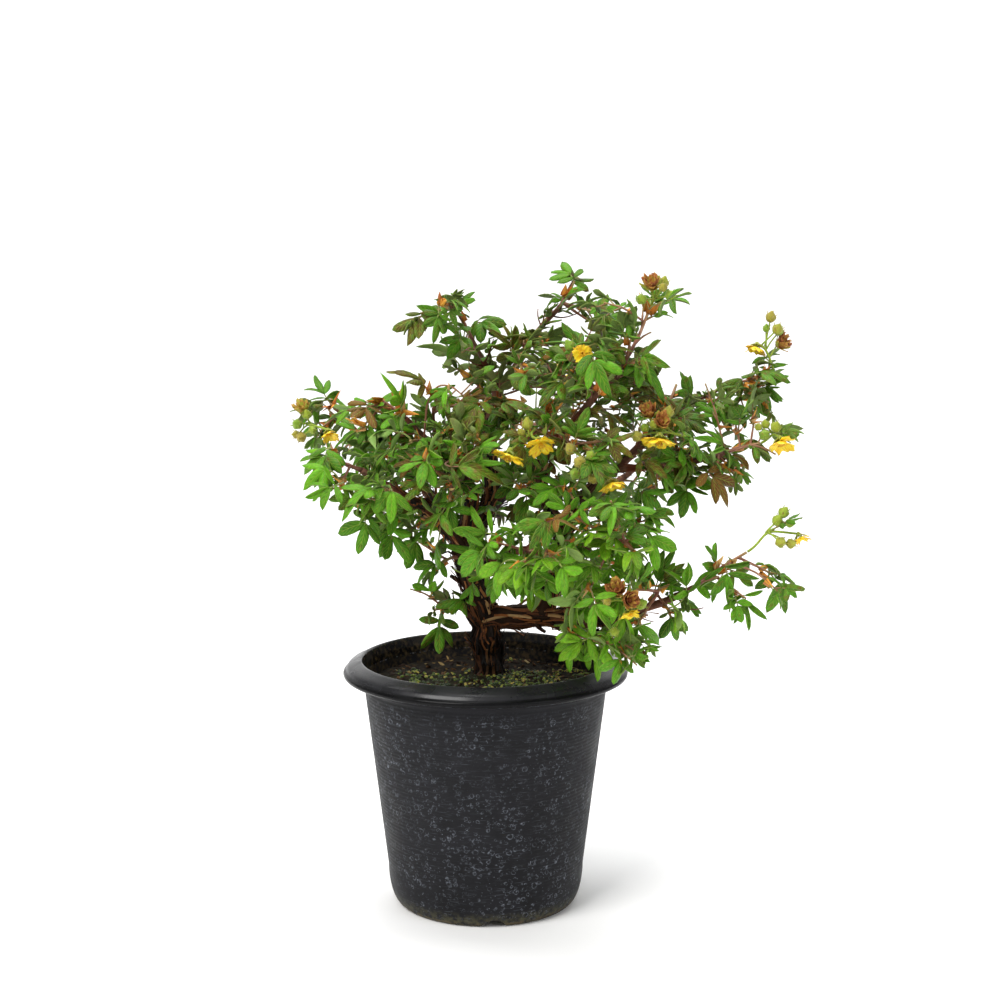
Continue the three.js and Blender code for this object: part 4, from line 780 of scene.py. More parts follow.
# Young shoots: each leafy spray grows from a limb, at a share of its length. Its first tip ends the
# main twig, the others end side twigs. A leaf lists the end of its stalk, then the place of its tip
# across and up, as seen from the front. Last comes how many more leaves the spray grows by rule.
SPRAYS = {
    "left_high": ("left_back_limb", 1, [(-84, 44, 261), (-76, 60, 246), (-87, 30, 250)],
        [(-86, 44, 264, -93, 276), (-84, 46, 263, -72, 261), (-89, 38, 262, -98, 257)], 0),
    "left_hang": ("left_low_limb", 1, [(-79, -38, 240), (-72, -48, 228), (-78, -26, 247)],
        [(-79, -40, 246, -82, 232), (-82, -30, 241, -91, 239), (-78, -44, 238, -92, 232),
        (-73, -52, 231, -88, 226)], 0),
    "left_under": ("left_low_limb", 0.72, [(-66, -42, 219), (-54, -56, 223), (-45, -62, 228)],
        [(-55, -58, 227, -58, 213), (-59, -46, 210, -66, 198), (-45, -64, 229, -48, 216)], 0),
    "left_lower": ("left_low_limb", 0.45, [(-55, -20, 205), (-47, -32, 204)], [(-47, -34, 205, -47, 188),
        (-55, -18, 207, -63, 205)], 0),
    "left_foot": ("trunk", 0.93, [(-22, -12, 184), (-34, -4, 193)], [(-23, -12, 185, -39, 178),
        (-36, -4, 193, -47, 179)], 0),
    "low_sprig": ("low_left_limb", 1, [(-23, -6, 158)], [(-24, -6, 152, -24, 136), (-12, 0, 164, -21, 162)],
        0),
    "left_mid": ("left_mid_limb", 1, [(-54, -16, 269), (-42, -22, 264), (-62, -32, 256)],
        [(-42, -22, 266, -43, 279), (-55, -14, 267, -42, 260), (-60, -20, 266, -65, 259)], 0),
    "left_arch": ("left_mid_limb", 0.72, [(-24, -12, 274), (-37, -44, 251), (-29, -54, 241)],
        [(-23, -12, 273, -14, 260), (-29, -56, 242, -34, 233), (-30, -52, 230, -41, 228)], 0),
    "left_inner": ("left_mid_limb", 0.45, [(-17, -50, 222), (-15, -48, 244), (-3, -32, 254)],
        [(-16, -50, 241, 4, 244), (-4, -34, 268, -15, 256), (-17, -50, 218, -9, 204)], 0),
    "upper_left": ("upper_left_limb", 1, [(-19, 10, 319), (-33, -4, 312), (-12, 26, 296)],
        [(-20, 2, 309, -33, 317), (-34, -6, 310, -43, 297), (-15, 12, 316, -3, 318), (-4, 20, 307, 7, 303),
        (-11, 24, 299, -20, 288)], 0),
    "centre": ("centre_limb", 0.75, [(-11, 38, 277), (-18, 44, 259), (-4, 50, 247), (20, -22, 268)],
        [(-2, 36, 282, -13, 281), (10, -20, 268, 21, 266), (8, -14, 262, 12, 253)], 1),
    "top": ("top_limb", 1, [(47, 36, 327), (60, 24, 311), (64, 34, 300)], [(47, 36, 329, 35, 339),
        (47, 34, 328, 56, 334), (40, 38, 318, 32, 323), (57, 24, 312, 73, 315), (64, 28, 308, 82, 306),
        (65, 36, 300, 73, 293)], 0),
    "top_inner": ("top_limb", 0.5, [(13, 10, 292), (31, 6, 295), (19, -6, 284)], [(14, 8, 291, 9, 307),
        (25, 4, 298, 14, 304), (15, -6, 282, 25, 275)], 0),
    "centre_right_tip": ("centre_right_limb", 1, [(83, -18, 315), (77, -36, 289), (73, -30, 301)],
        [(90, -18, 320, 103, 322), (78, -36, 292, 91, 292), (78, -40, 288, 90, 282)], 0),
    "centre_right_mid": ("centre_right_limb", 0.78, [(50, -36, 296), (56, -54, 276), (37, -42, 287)],
        [(52, -46, 295, 58, 280), (43, -38, 295, 26, 293), (38, -44, 280, 25, 275)], 0),
    "centre_right_low": ("centre_right_limb", 0.5, [(44, -56, 249), (25, -48, 257), (59, -62, 253)],
        [(59, -64, 254, 71, 248)], 0),
    "right_high": ("right_mid_limb", 1, [(135, 20, 275), (147, 12, 279), (119, 4, 265), (145, 30, 266)],
        [(107, 10, 268, 102, 280), (134, 14, 277, 123, 268), (122, 0, 266, 129, 252),
        (140, 18, 281, 149, 284), (147, 12, 273, 159, 279), (147, 18, 272, 149, 253)], 0),
    "right_shoulder": ("right_mid_limb", 0.6, [(102, 36, 272), (87, -6, 272), (103, -4, 255)],
        [(99, -4, 259, 112, 257), (90, -8, 271, 88, 261), (109, 36, 266, 117, 272)], 0),
    "right_tip": ("right_limb", 1, [(140, -20, 247), (131, -8, 234), (117, -26, 232)],
        [(122, -16, 243, 115, 253), (138, -22, 248, 135, 231), (149, -14, 253, 161, 253),
        (112, -26, 234, 125, 221)], 0),
    "right_inner": ("right_limb", 0.35, [(102, -36, 250), (107, -12, 226), (85, -26, 219), (79, -34, 238)],
        [(104, -14, 224, 101, 211), (80, -42, 240, 97, 233), (80, -32, 224, 96, 216),
        (83, -34, 215, 99, 207)], 0),
    "right_low_tip": ("right_low_limb", 1, [(131, -44, 195), (130, -52, 173), (145, -40, 183),
        (117, -46, 183)], [(119, -52, 189, 126, 170), (116, -40, 188, 115, 200), (119, -44, 181, 112, 169),
        (146, -40, 181, 156, 166), (130, -52, 171, 132, 151)], 0),
    "right_low": ("right_low_limb", 0.5, [(87, -50, 178), (93, -54, 166), (76, -66, 164), (72, -70, 181)],
        [(86, -50, 177, 90, 194), (93, -56, 164, 97, 148), (75, -68, 163, 86, 145), (101, -42, 176, 98, 193),
        (67, -74, 157, 76, 143)], 0),
    "low_front": ("low_front_limb", 1, [(52, -64, 155), (40, -60, 157), (63, -58, 152)],
        [(51, -66, 156, 33, 149), (58, -70, 151, 52, 135), (43, -62, 152, 37, 138)], 0),
    "front": ("front_limb", 0.75, [(34, -86, 199), (17, -82, 195), (29, -86, 218), (2, -62, 204)],
        [(0, -62, 201, -12, 185), (8, -74, 195, 1, 177), (15, -84, 194, 14, 182), (36, -90, 198, 43, 187),
        (29, -90, 218, 22, 206)], 0),
    "front_right": ("front_right_limb", 0.75, [(74, -88, 201), (60, -92, 228), (75, -82, 213), (51, -80, 183),
        (42, -76, 219)], [(78, -84, 212, 85, 199), (68, -78, 211, 85, 213), (59, -96, 227, 54, 215),
        (52, -84, 182, 58, 169)], 0),
    "back": ("back_limb", 1, [(41, 92, 258), (16, 96, 244), (36, 104, 231), (27, 60, 256)], [], 4),
    "back_left": ("left_back_limb", 0.55, [(-48, 74, 207), (-35, 84, 231), (-9, 92, 213), (-25, 60, 245)], [],
        4),
    "back_right": ("right_back_limb", 1, [(110, 86, 243), (102, 98, 218), (76, 92, 201), (84, 60, 248)], [],
        4),
    "low_back": ("low_back_limb", 1, [(72, 92, 167), (52, 84, 150), (87, 84, 180)], [], 2),
}
BUSH_MIDDLE = Vector((25, 5, 215))
UP = Vector((0, 0, 1))
TWIG_FOLLOW = 0.1
TWIG_RISE = 0.04
MAIN_TWIG_RADIUS = (1.15, 0.7)
SIDE_TWIG_RADIUS = (0.75, 0.5)
TWIG_NODE = 7.5
SIDE_TWIG_BACK = 0.3
SIDE_TWIG_STARTS = (0.15, 0.8)


def spray_twigs(limb_name, share, tips):
    """The main twig leaves its limb along it, then bends up to its tip. The others are straight."""
    limb = limb_rod(limb_name)
    start = rod_point(limb, share)
    tip = Vector(tips[0])
    chord = tip - start
    bend = start.lerp(tip, 0.5)
    bend += rod_heading(limb, share) * (TWIG_FOLLOW * chord.length)
    bend += UP * (TWIG_RISE * chord.length)
    twigs = [[start, bend, tip]]
    for end in map(Vector, tips[1:]):
        level = (end - start).dot(chord) / chord.length_squared
        lowest, highest = SIDE_TWIG_STARTS
        twigs.append([rod_point(twigs[0], min(max(level - SIDE_TWIG_BACK, lowest), highest)), end])
    return twigs


twigs_of = {name: spray_twigs(*spray[:3]) for name, spray in SPRAYS.items()}


def knuckled(radius, length):
    """The radius of a young twig, with a swelling at each place where leaves spring."""
    def radius_at(share, turn):
        swelling = max(0, math.cos(2 * math.pi * share * length / TWIG_NODE)) ** 6
        return (radius[0] + (radius[1] - radius[0]) * share) * (1 + 0.35 * swelling)
    return radius_at


# Bark of young twigs: smooth red brown, with thin pale skin that flakes, and greener at the tip.
young_bark = plant_matter(
    "smooth_young_bark", [(0, "#8a8440"), (0.25, "#9a6f4a"), (0.55, "#93604a"), (1, "#6a4436")],
    (4, 1 / 0.8, 1 / 5, 1), (0.5, 0.4), stain=(0.56, 0.7, 0, 0.6, "#d0b09a"),
    darks=(0.3, 0.55, 0.55, 1), Roughness=0.6, Specular_IOR_Level=0.4,
)
# Stipules: papery sheaths at the foot of each leaf stalk, thin and dry, pale tan to rusty orange.
papery_stipule = plant_matter(
    "papery_stipule", [(0, "#e2a03a"), (0.35, "#cf8128"), (0.7, "#a85c22"), (1, "#d8b674")],
    (3, 6, 1.5, 1), (0.5, 0.2), darks=(0.3, 0.7, 0.65, 1.2), Roughness=0.7, Specular_IOR_Level=0.4,
)
twig_finishes = [young_bark, papery_stipule]

# Flower heads stand on the tips of twigs. Each lists its spray, the number of its twig and its
# fork, then its blooms, dried flowers and buds. The stalk runs to the fork, and from there a
# thinner stalk to each flower. A bloom lists its place, its size and how far it nods.
HEADS = {
    "left": ("left_high", 2, (-95, 28, 252), [(-83, 20, 248, 0.6, 0.85)], [(-97, 30, 257)], [(-100, 24, 252),
        (-98, 24, 245)]),
    "middle": ("centre_right_low", 1, (22, -52, 254), [(27, -58, 252, 0.9, 0.6), (12, -57, 246, 1, 0.95)], [],
        [(21, -50, 260)]),
    "upper": ("centre_right_mid", 0, (48, -44, 295), [(48, -50, 295, 0.62, 0.1)], [], [(42, -42, 298)]),
    "centre": ("centre_right_low", 0, (49, -64, 243), [(61, -72, 234, 0.78, 0.75)], [], [(42, -62, 249),
        (44, -70, 238)]),
    "shoulder": ("right_inner", 0, (88, -44, 256), [(86, -52, 253, 1, 0.9)], [(82, -44, 263)],
        [(75, -50, 254), (91, -42, 265)]),
    "top": ("centre_right_tip", 0, (86, -18, 320), [], [(84, -20, 325)], [(90, -16, 328), (93, -24, 322)]),
    "right_high": ("right_high", 1, (146, 16, 294), [(141, 10, 294, 0.66, 0.9)], [(153, 18, 294)],
        [(149, 16, 309), (152, 12, 303)]),
    "right": ("right_tip", 0, (146, -22, 253), [(149, -28, 249, 0.85, 0.85)], [], [(141, -26, 252),
        (147, -25, 256)]),
    "right_low": ("right_low_tip", 0, (141, -44, 206), [(157, -46, 203, 0.6, 0.85)], [], [(149, -44, 215),
        (147, -50, 201)]),
    "low": ("right_low", 3, (68, -78, 176), [(70, -86, 173, 0.62, 0.85)], [(64, -84, 182)], [(76, -76, 175)]),
    "back": ("back", 0, (45, 98, 265), [(48, 104, 268, 0.9, 0.8)], [], [(39, 96, 266)]),
}
STALK_GAP = 0.35
STALK_RUN = 0.3
FORK_START = 0.38
FORK_STEP = 0.14
SEATS = {"blooms": 1.75, "dried": 1.05, "buds": 0}
LOOK_OUT = 0.5
LOOK_UP = 0.4
LOOK_DOWN = 1.4
BACK_HEADS = 60


def flower_face(fork, place, nod):
    """Which way a flower looks: away from its fork, out of the bush, and up or nodding."""
    face = (place - fork).normalized() * LOOK_OUT
    face.y += LOOK_OUT if fork.y > BACK_HEADS else -LOOK_OUT
    face.z = -LOOK_DOWN * nod if nod else face.z + LOOK_UP
    return face.normalized()


def head_stalks(spray_name, twig_number, fork, *flowers):
    """Where each flower of a head is, which way it looks, its size and the rod of its stalk."""
    twig = twigs_of[spray_name][twig_number]
    heading = rod_heading(twig, 1)
    start = twig[-1] + heading * STALK_GAP
    fork = Vector(fork)
    main = None
    side = 0
    plan = {}
    for (kind, sink), entries in zip(SEATS.items(), flowers):
        plan[kind] = []
        for x, y, z, *bloom in entries:
            flower = Vector((x, y, z))
            size, nod = bloom or (1, 0)
            face = flower_face(fork, flower, nod)
            foot = flower - face * sink
            stalk = [rod_point(main, FORK_START + FORK_STEP * side), foot] if main else [
                start, start + heading * (STALK_RUN * (start - fork).length), fork, foot]
            main = main or stalk
            side += 1
            plan[kind].append((flower, face, size, stalk))
    return plan


plan_of = {name: head_stalks(*head) for name, head in HEADS.items()}

# Leaves: each has three or five leaflets on a thin stalk. They are laid one by one so that no leaf
# passes through another. Beads mark the room that each twig, flower and leaf takes up.
LEAF_LENGTH = 20
RACHIS = 3.5
STALK_LENGTH = 10
BLADE_ARCH = 0.009
BLADE_FOLD = 0.11
END_LEAFLET = (16.5, 5.6, 0)
UPPER_LEAFLET = (15, 5.4, 44)
LOWER_LEAFLET = (13, 4.8, 78)
BLADE_BEADS = [(0.22, 1.9), (0.46, 2.5), (0.7, 2.4), (0.93, 1.5)]
FLOWER_BEADS = (("blooms", 8.4, 2.5), ("dried", 6.4, 3), ("buds", 3.6, 0))
TWIG_BEADS = (1.5, 1.3)
STALK_BEADS = (1.1, 1.1)
LEAF_STALK_BEAD = 1
LEAF_STALK_START = 3.5
LEAF_STALK_STEP = 2.5
WOOD_ROOM = 0.7
BLOOM_ROOM = 0.4
POT_ROOM = 2
WALL_ROOM = 4.8
SOIL_ROOM = 4
BEAD_SPACING = 2
BEAD_CELL = 12
DEPTH_STEPS = [0, -3, 3, -6, 6, -9, 9, -13, 13, -17]
SEED_FACTOR = 16807
SEED_LIMIT = 2147483647

leaf_seed = 20107
cells = {}
springs_of = {name: [] for name in SPRAYS}


def chance():
    """The next number, from 0 to 1, of the row that places the leaves."""
    global leaf_seed
    leaf_seed = leaf_seed * SEED_FACTOR % SEED_LIMIT
    return leaf_seed / SEED_LIMIT


def cell_of(place):
    return tuple(math.floor(value / BEAD_CELL) for value in place)


def add_bead(owner, kind, place, radius):
    cells.setdefault(cell_of(place), []).append((*place, radius, owner, kind))


def add_beads(owner, kind, rod, start_radius, end_radius):
    count = math.ceil((rod[-1] - rod[0]).length / BEAD_SPACING)
    for i in range(count + 1):
        share = i / count
        place = rod_point(rod, share)
        add_bead(owner, kind, place, start_radius + (end_radius - start_radius) * share)
        if kind == "twig" and 0 < i < count:
            springs_of[owner].append(place)


for limb_name, (start, end, _) in LIMBS.items():
    add_beads("wood", "wood", limb_rod(limb_name), start + WOOD_ROOM, end + WOOD_ROOM)
for spray_name, twigs in twigs_of.items():
    for twig in twigs:
        add_beads(spray_name, "twig", twig, *TWIG_BEADS)
for head_name, plan in plan_of.items():
    owner = "head_" + head_name
    for kind, room, lift in FLOWER_BEADS:
        for flower, face, size, stalk in plan[kind]:
            add_beads(owner, "flower", stalk, *STALK_BEADS)
            radius = room * size + BLOOM_ROOM if kind == "blooms" else room
            add_bead(owner, "flower", flower + face * lift, radius)


def leaf_at(hub, aim, face, base, leaflets, size):
    """A leaf: the end of its stalk, the directions that lay it in the bush, and its size."""
    along = aim.normalized()
    normal = (face - along * face.dot(along)).normalized()
    return {"hub": hub, "along": along, "normal": normal, "across": along.cross(normal),
            "base": base, "leaflets": leaflets, "size": size}


def on_leaf(leaf, x, y, lift):
    height = BLADE_FOLD * abs(x) - BLADE_ARCH * (x * x + y * y) / leaf["size"] + lift
    return leaf["hub"] + leaf["across"] * x + leaf["along"] * y + leaf["normal"] * height


def leaflets_of(leaf):
    """The leaflets of a leaf: where each starts on the rachis, its turn, length and width."""
    five = leaf["leaflets"] == 5
    row = RACHIS if five else 0
    plan = [(row, END_LEAFLET, 1)]
    for side in (1, -1):
        plan += [(row, UPPER_LEAFLET, side), (0, LOWER_LEAFLET, side)][:1 + five]
    size = leaf["size"]
    return [(start * size, math.radians(side * turn), length * size, width * size)
            for start, (length, width, turn), side in plan]


def leaf_beads(leaf):
    beads = []
    for start, turn, length, _ in leaflets_of(leaf):
        for share, radius in BLADE_BEADS:
            reach = length * share
            place = on_leaf(leaf, math.sin(turn) * reach, start + math.cos(turn) * reach, 0)
            beads.append(("blade", place, radius * leaf["size"]))
    length = (leaf["base"] - leaf["hub"]).length
    reach = LEAF_STALK_START
    while reach < length:
        beads.append(("stalk", leaf["base"].lerp(leaf["hub"], reach / length), LEAF_STALK_BEAD))
        reach += LEAF_STALK_STEP
    return beads


def touches_pot(place, radius):
    reach = math.hypot(place.x, place.y)
    outside = reach > RIM_RADIUS + POT_ROOM + radius
    inside = reach < LIP_RADIUS - WALL_ROOM - radius and place.z > SOIL_TOP + SOIL_ROOM + radius
    return place.z < LIP_HEIGHT + POT_ROOM + radius and not outside and not inside


def blocked(owner, beads, own_share=0.9, gap=0.5):
    """True if a leaf with these beads would touch the pot or another piece, or crowd its own."""
    for kind, place, radius in beads:
        if touches_pot(place, radius):
            return True
        x, y, z = place
        i, j, k = cell_of(place)
        for near in [(i + a, j + b, k + c) for a in (-1, 0, 1) for b in (-1, 0, 1) for c in (-1, 0, 1)]:
            for bx, by, bz, other, other_owner, other_kind in cells.get(near, ()):
                own = other_owner == owner
                if own and kind == "stalk" and other_kind in ("twig", "shoot", "wood", "flower"):
                    continue
                needed = own_share * (radius + other) if own else radius + other + gap
                if needed > 0 and (x - bx) ** 2 + (y - by) ** 2 + (z - bz) ** 2 < needed * needed:
                    return True
    return False


def keep_leaf(owner, leaf, beads):
    for kind, place, radius in beads:
        add_bead(owner, kind, place, radius)
    return leaf


def stalk_base(owner, hub, aim):
    """The place on the spray's twigs that a leaf springs from: a stalk's length away, behind it."""
    def cost(place):
        back = place - hub
        length = back.length
        turned = max(0, back.dot(aim) / (length * aim.length) + 0.2)
        return abs(length - STALK_LENGTH) * (1.4 if length > STALK_LENGTH else 1) + 7 * turned
    return min(springs_of[owner], key=cost)


def placed_leaf(owner, x, y, z, tip_x, tip_z, order):
    """A leaf that the front view shows. What its length there lacks leans out of the bush.

    It is moved in depth, step by step, until it is clear.
    """
    seen = math.hypot(tip_x - x, tip_z - z)
    whole = max(seen * 1.02, LEAF_LENGTH * (0.78 + 0.2 * chance()))
    lean = math.sqrt(whole * whole - seen * seen) * (1 if y > 30 else -1)
    face = Vector((chance() - 0.5, -0.75 - 0.4 * chance(), 0.9))
    leaflets = 5 if order % 3 == 0 else 3
    aim = Vector((tip_x - x, lean, tip_z - z))
    for shrink in (1, 0.86):
        for step in DEPTH_STEPS:
            hub = Vector((x, y + step, z))
            base = stalk_base(owner, hub, aim)
            leaf = leaf_at(hub, aim, face, base, leaflets, shrink * whole / LEAF_LENGTH)
            beads = leaf_beads(leaf)
            if not blocked(owner, beads):
                springs_of[owner].remove(base)
                return keep_leaf(owner, leaf, beads)
    return None


GROWING_TURN = 137.5
GROWING_TRIES = 14
GROWING_SHARES = [0.95, 0.72, 0.5, 0.84, 0.35, 0.62]


def spring_place(twig, share):
    """A place on a twig, the twig's heading, two directions square to it, and the way outwards."""
    base = rod_point(twig, share)
    along = rod_heading(twig, share)
    side = UP.cross(along).normalized()
    return base, along, side, along.cross(side), (base - BUSH_MIDDLE).normalized()


def grown_leaf(owner, twigs, order):
    """A leaf by the growing rule: turn by turn round the twigs, from their tips back."""
    start = GROWING_SHARES[order // len(twigs) % len(GROWING_SHARES)]
    for attempt in range(GROWING_TRIES):
        place = spring_place(twigs[order % len(twigs)], start - 0.02 * attempt)
        base, along, side, over, outward = place
        turn = math.radians(GROWING_TURN * (order + attempt) + 60 * chance())
        spring = along * 0.6 + side * (0.8 * math.cos(turn)) + over * (0.8 * math.sin(turn)) + outward * 0.35
        spring.normalize()
        hub = base + spring * (STALK_LENGTH * (0.85 + 0.35 * chance()))
        aim = spring * 0.8 + outward * 0.3 - UP * 0.3
        face = outward * 0.8 + UP * 0.8
        face.x += 0.6 * (chance() - 0.5)
        face.y += 0.6 * (chance() - 0.5)
        leaf = leaf_at(hub, aim, face, base, 5 if order % 3 == 0 else 3, 0.8 + 0.2 * chance())
        beads = leaf_beads(leaf)
        if not blocked(owner, beads):
            return keep_leaf(owner, leaf, beads)
    return None


leaves_of = {name: [placed_leaf(name, *place, order) for order, place in enumerate(spray[3])]
             for name, spray in SPRAYS.items()}
for name, spray in SPRAYS.items():
    leaves_of[name] += [grown_leaf(name, twigs_of[name], order) for order in range(spray[4])]

# Smaller leaves grow in tufts at the nodes of each spray, and none where the front view shows open
# air. The crown's reach lists a place across, then its lowest and highest leaf there, and a gap in
# it its middle and radius. Both are measured in the upright plane through the pot's axis.
EYE = Vector((7.6, -1000, 362))
CROWN_REACH = [
    (-104, 232, 256), (-91, 216, 277), (-83, 212, 279), (-75, 208, 269), (-58, 202, 271), (-50, 194, 275),
    (-41, 182, 310), (-33, 140, 318), (-25, 122, 323), (-16, 118, 327), (0, 114, 321), (9, 114, 307),
    (25, 114, 306), (34, 114, 339), (50, 114, 334), (59, 114, 323), (75, 117, 321), (84, 124, 331),
    (100, 135, 327), (108, 144, 322), (117, 161, 280), (134, 141, 284), (142, 141, 316), (150, 156, 313),
    (158, 155, 302), (168, 156, 252),
]
OPEN_AIR = [
    (113, 199, 14), (133, 202, 14), (126, 211, 7), (151, 221, 12.5), (163, 226, 18.5), (146, 185, 4.5),
    (158, 183, 6.5), (102, 193, 6), (96, 189, 5), (158, 265, 9), (153, 264, 6), (144, 254, 2.5),
    (113, 248, 4), (94, 272, 4.5), (85, 298, 4), (88, 307, 3), (96, 301, 6), (102, 293, 10.5),
    (106, 278, 8.5), (93, 285, 4), (93, 216, 4), (138, 251, 4), (23, 270, 5), (18, 269, 4), (74, 231, 5),
    (-38, 218, 3.5), (-20, 187, 4.5), (-14, 171, 4.5), (12, 162, 3.5), (20, 159, 2.5), (18, 296, 1.5),
    (120, 253, 3), (110, 303, 15.5), (144, 166, 4), (80, 297, 2), (5, 307, 4.5), (-16, 278, 4.5),
    (-26, 278, 4), (-37, 270, 4.5), (-12, 151, 6.5), (89, 162, 6.5), (84, 152, 3.5), (44, 309, 4),
    (32, 330, 4.5), (-22, 296, 3.5), (-5, 303, 2.5),
]
TUFT_SPACING = 5.0
TUFT_TRIES = 8
TUFT_SHARES = (0.97, 0.22)
TUFT_SIZES = (0.55, 0.98)
CROWDING = 0.55
TUFT_OWN_SHARE = 0.6
TUFT_GAP = -1.2
FIVE_LEAFLETS = 0.6
FRONT_FLOWERS = 32
FLOWER_ROOM = (("blooms", 7.5), ("dried", 6.5), ("buds", 3.2))
tuft_dice = random.Random(77)


def as_seen(place):
    """Where the front view shows a place, across and up in the upright plane through the axis."""
    share = -EYE.y / (place.y - EYE.y)
    return EYE.x + (place.x - EYE.x) * share, EYE.z + (place.z - EYE.z) * share


# No small leaf hides a flower that the front view shows.
flowers_seen = [(*as_seen(flower), room * size, flower.y)
                for plan in plan_of.values() for kind, room in FLOWER_ROOM
                for flower, face, size, stalk in plan[kind] if flower.y < FRONT_FLOWERS]


def in_open_air(beads):
    for _, place, radius in beads:
        x, z = as_seen(place)
        for flower_x, flower_z, room, depth in flowers_seen:
            if place.y < depth + 4 and math.hypot(x - flower_x, z - flower_z) < room + 0.3 * radius:
                return True
        if any(math.hypot(x - gap_x, z - gap_z) < size + 0.7 * radius for gap_x, gap_z, size in OPEN_AIR):
            return True
        held = False
        for (left, low, high), (right, next_low, next_high) in zip(CROWN_REACH, CROWN_REACH[1:]):
            if left <= x < right:
                along = (x - left) / (right - left)
                floor = low + (next_low - low) * along
                ceiling = high + (next_high - high) * along
                held = floor + radius < z < ceiling - radius
        if not held:
            return True
    return False


def tuft_leaf(owner, rod, share, order):
    base, along, side, over, outward = spring_place(rod, share)
    for attempt in range(TUFT_TRIES):
        turn = math.radians(GROWING_TURN * order + 50 * attempt + tuft_dice.uniform(0, 40))
        size = tuft_dice.uniform(*TUFT_SIZES) * (1 - 0.03 * attempt)
        spring = along * 0.5 + side * math.cos(turn) + over * math.sin(turn) + outward * 0.5
        spring = (spring + UP * 0.15).normalized()
        hub = base + spring * (STALK_LENGTH * tuft_dice.uniform(0.55, 1.05) * (0.4 + 0.6 * size))
        aim = spring + outward * 0.3 - UP * tuft_dice.uniform(-0.2, 0.6)
        face = outward * 0.6 + UP * 0.7 + scattered(tuft_dice.uniform, -0.8, 0.8)
        leaf = leaf_at(hub, aim, face, base, 5 if tuft_dice.random() < FIVE_LEAFLETS else 3, size)
        beads = [(kind, place, radius * CROWDING) for kind, place, radius in leaf_beads(leaf)]
        if not in_open_air(beads) and not blocked(owner, beads, TUFT_OWN_SHARE, TUFT_GAP):
            return keep_leaf(owner, leaf, beads)
    return None


def tuft_leaves(owner, rod, shares):
    """A small leaf at each share of a rod, where there is room. Each turns on from the last."""
    global tuft_order
    leaves = []
    for share in shares:
        tuft_order += 1
        leaves.append(tuft_leaf(owner, rod, share, tuft_order))
    return [leaf for leaf in leaves if leaf]


tuft_order = 0
for spray_name, twigs in twigs_of.items():
    for twig in twigs:
        reach = TUFT_SHARES[0] - TUFT_SHARES[1]
        count = max(1, int(rod_length(twig) * reach / TUFT_SPACING))
        shares = [TUFT_SHARES[0] - reach * (i + 0.3) / count for i in range(count)]
        leaves_of[spray_name] += tuft_leaves(spray_name, twig, shares)

# Inner shoots: thin leafy twigs that fill the bush between the sprays. Each is listed by the place
# of its tip, and grows from the nearest wood that is under or behind it.
SHOOT_TIPS = [
    (69, -10, 263), (63, 20, 249), (76, 5, 269), (67, 28, 270), (81, 15, 250), (129, -5, 255), (136, 12, 260),
    (15, -35, 225), (21, 5, 214), (10, 25, 222), (40, -45, 229), (46, -15, 230), (39, 15, 213),
    (-34, -12, 204), (-23, -28, 204), (-40, 18, 202), (14, -42, 206), (5, 12, 200), (23, -20, 205),
    (23, -38, 177), (9, -32, 180), (-70, 2, 246), (-48, -18, 248), (-59, 22, 236), (-45, 12, 250),
    (-2, -46, 252), (14, -30, 254), (5, 0, 244), (-8, -52, 246), (30, -35, 268), (35, 5, 260), (48, -25, 267),
    (87, -10, 288), (89, -18, 276), (86, 6, 271), (68, -15, 296), (60, -16, 318), (80, -14, 315),
    (130, -20, 226), (78, -80, 150), (149, -52, 174), (-28, -30, 235), (-24, 8, 232), (38, -44, 201),
    (44, 0, 199), (57, -52, 212), (54, -12, 211), (28, -40, 248), (60, -35, 238), (-7, -48, 222),
    (-17, -34, 255), (-1, -30, 266), (18, -30, 282), (38, -34, 290), (58, -30, 294), (69, -25, 284),
    (103, -30, 242), (83, -42, 211), (63, -62, 194), (48, -62, 179), (77, -52, 177), (33, -62, 188),
    (-3, 15, 223), (55, 20, 244), (40, 30, 270), (8, 35, 264), (-30, 35, 242), (93, 30, 238), (114, 25, 249),
    (29, 20, 297), (112, -15, 277), (141, 4, 260), (148, 10, 265), (84, -16, 303), (-24, -10, 316),
    (-12, -5, 292), (147, -26, 242), (126, -18, 222), (74, -82, 146), (18, -30, 173), (-39, -12, 170),
]
ARCHED_SHOOT = [(-31, -20, 250), (-29.3, -22, 268), (-24.2, -24, 277), (-17.1, -26, 277), (-11, -28, 272)]
SHOOT_REACH = (12, 70)
SHOOT_RISE = 0.1
SHOOT_SPACING = 4.2
SHOOT_RADIUS = (0.6, 0.4)
SHOOT_BEADS = (1.0, 0.9)
LIMB_FOOT = 0.15
shoots = [[Vector(place) for place in ARCHED_SHOOT]]
springs = []
for limb_name in LIMBS:
    if limb_name not in BARE_LIMBS:
        rod = limb_rod(limb_name)
        steps = int(rod_length(rod) / 3)
        springs += [rod_point(rod, LIMB_FOOT + (1 - LIMB_FOOT) * i / steps) for i in range(steps)]
for twigs in twigs_of.values():
    springs += [rod_point(twigs[0], i / 8) for i in range(1, 7)]
for tip in map(Vector, SHOOT_TIPS):
    def cost(place, tip=tip):
        reach = (tip - place).length
        short = 100 if reach < SHOOT_REACH[0] else 0
        return reach + short + 0.8 * max(0, place.z - tip.z + 4) + 0.3 * max(0, tip.y - place.y)
    start = min(springs, key=cost)
    reach = (tip - start).length
    if reach < SHOOT_REACH[1]:
        shoots.append([start, start.lerp(tip, 0.5) + UP * (SHOOT_RISE * reach), tip])
leaves_on_shoots = []
for rod in shoots:
    add_beads("shoots", "shoot", rod, *SHOOT_BEADS)
for rod in shoots:
    count = max(2, int(rod_length(rod) * 0.8 / SHOOT_SPACING))
    leaves_on_shoots += tuft_leaves("shoots", rod, [0.98 - 0.8 * (i + 0.2) / count for i in range(count)])

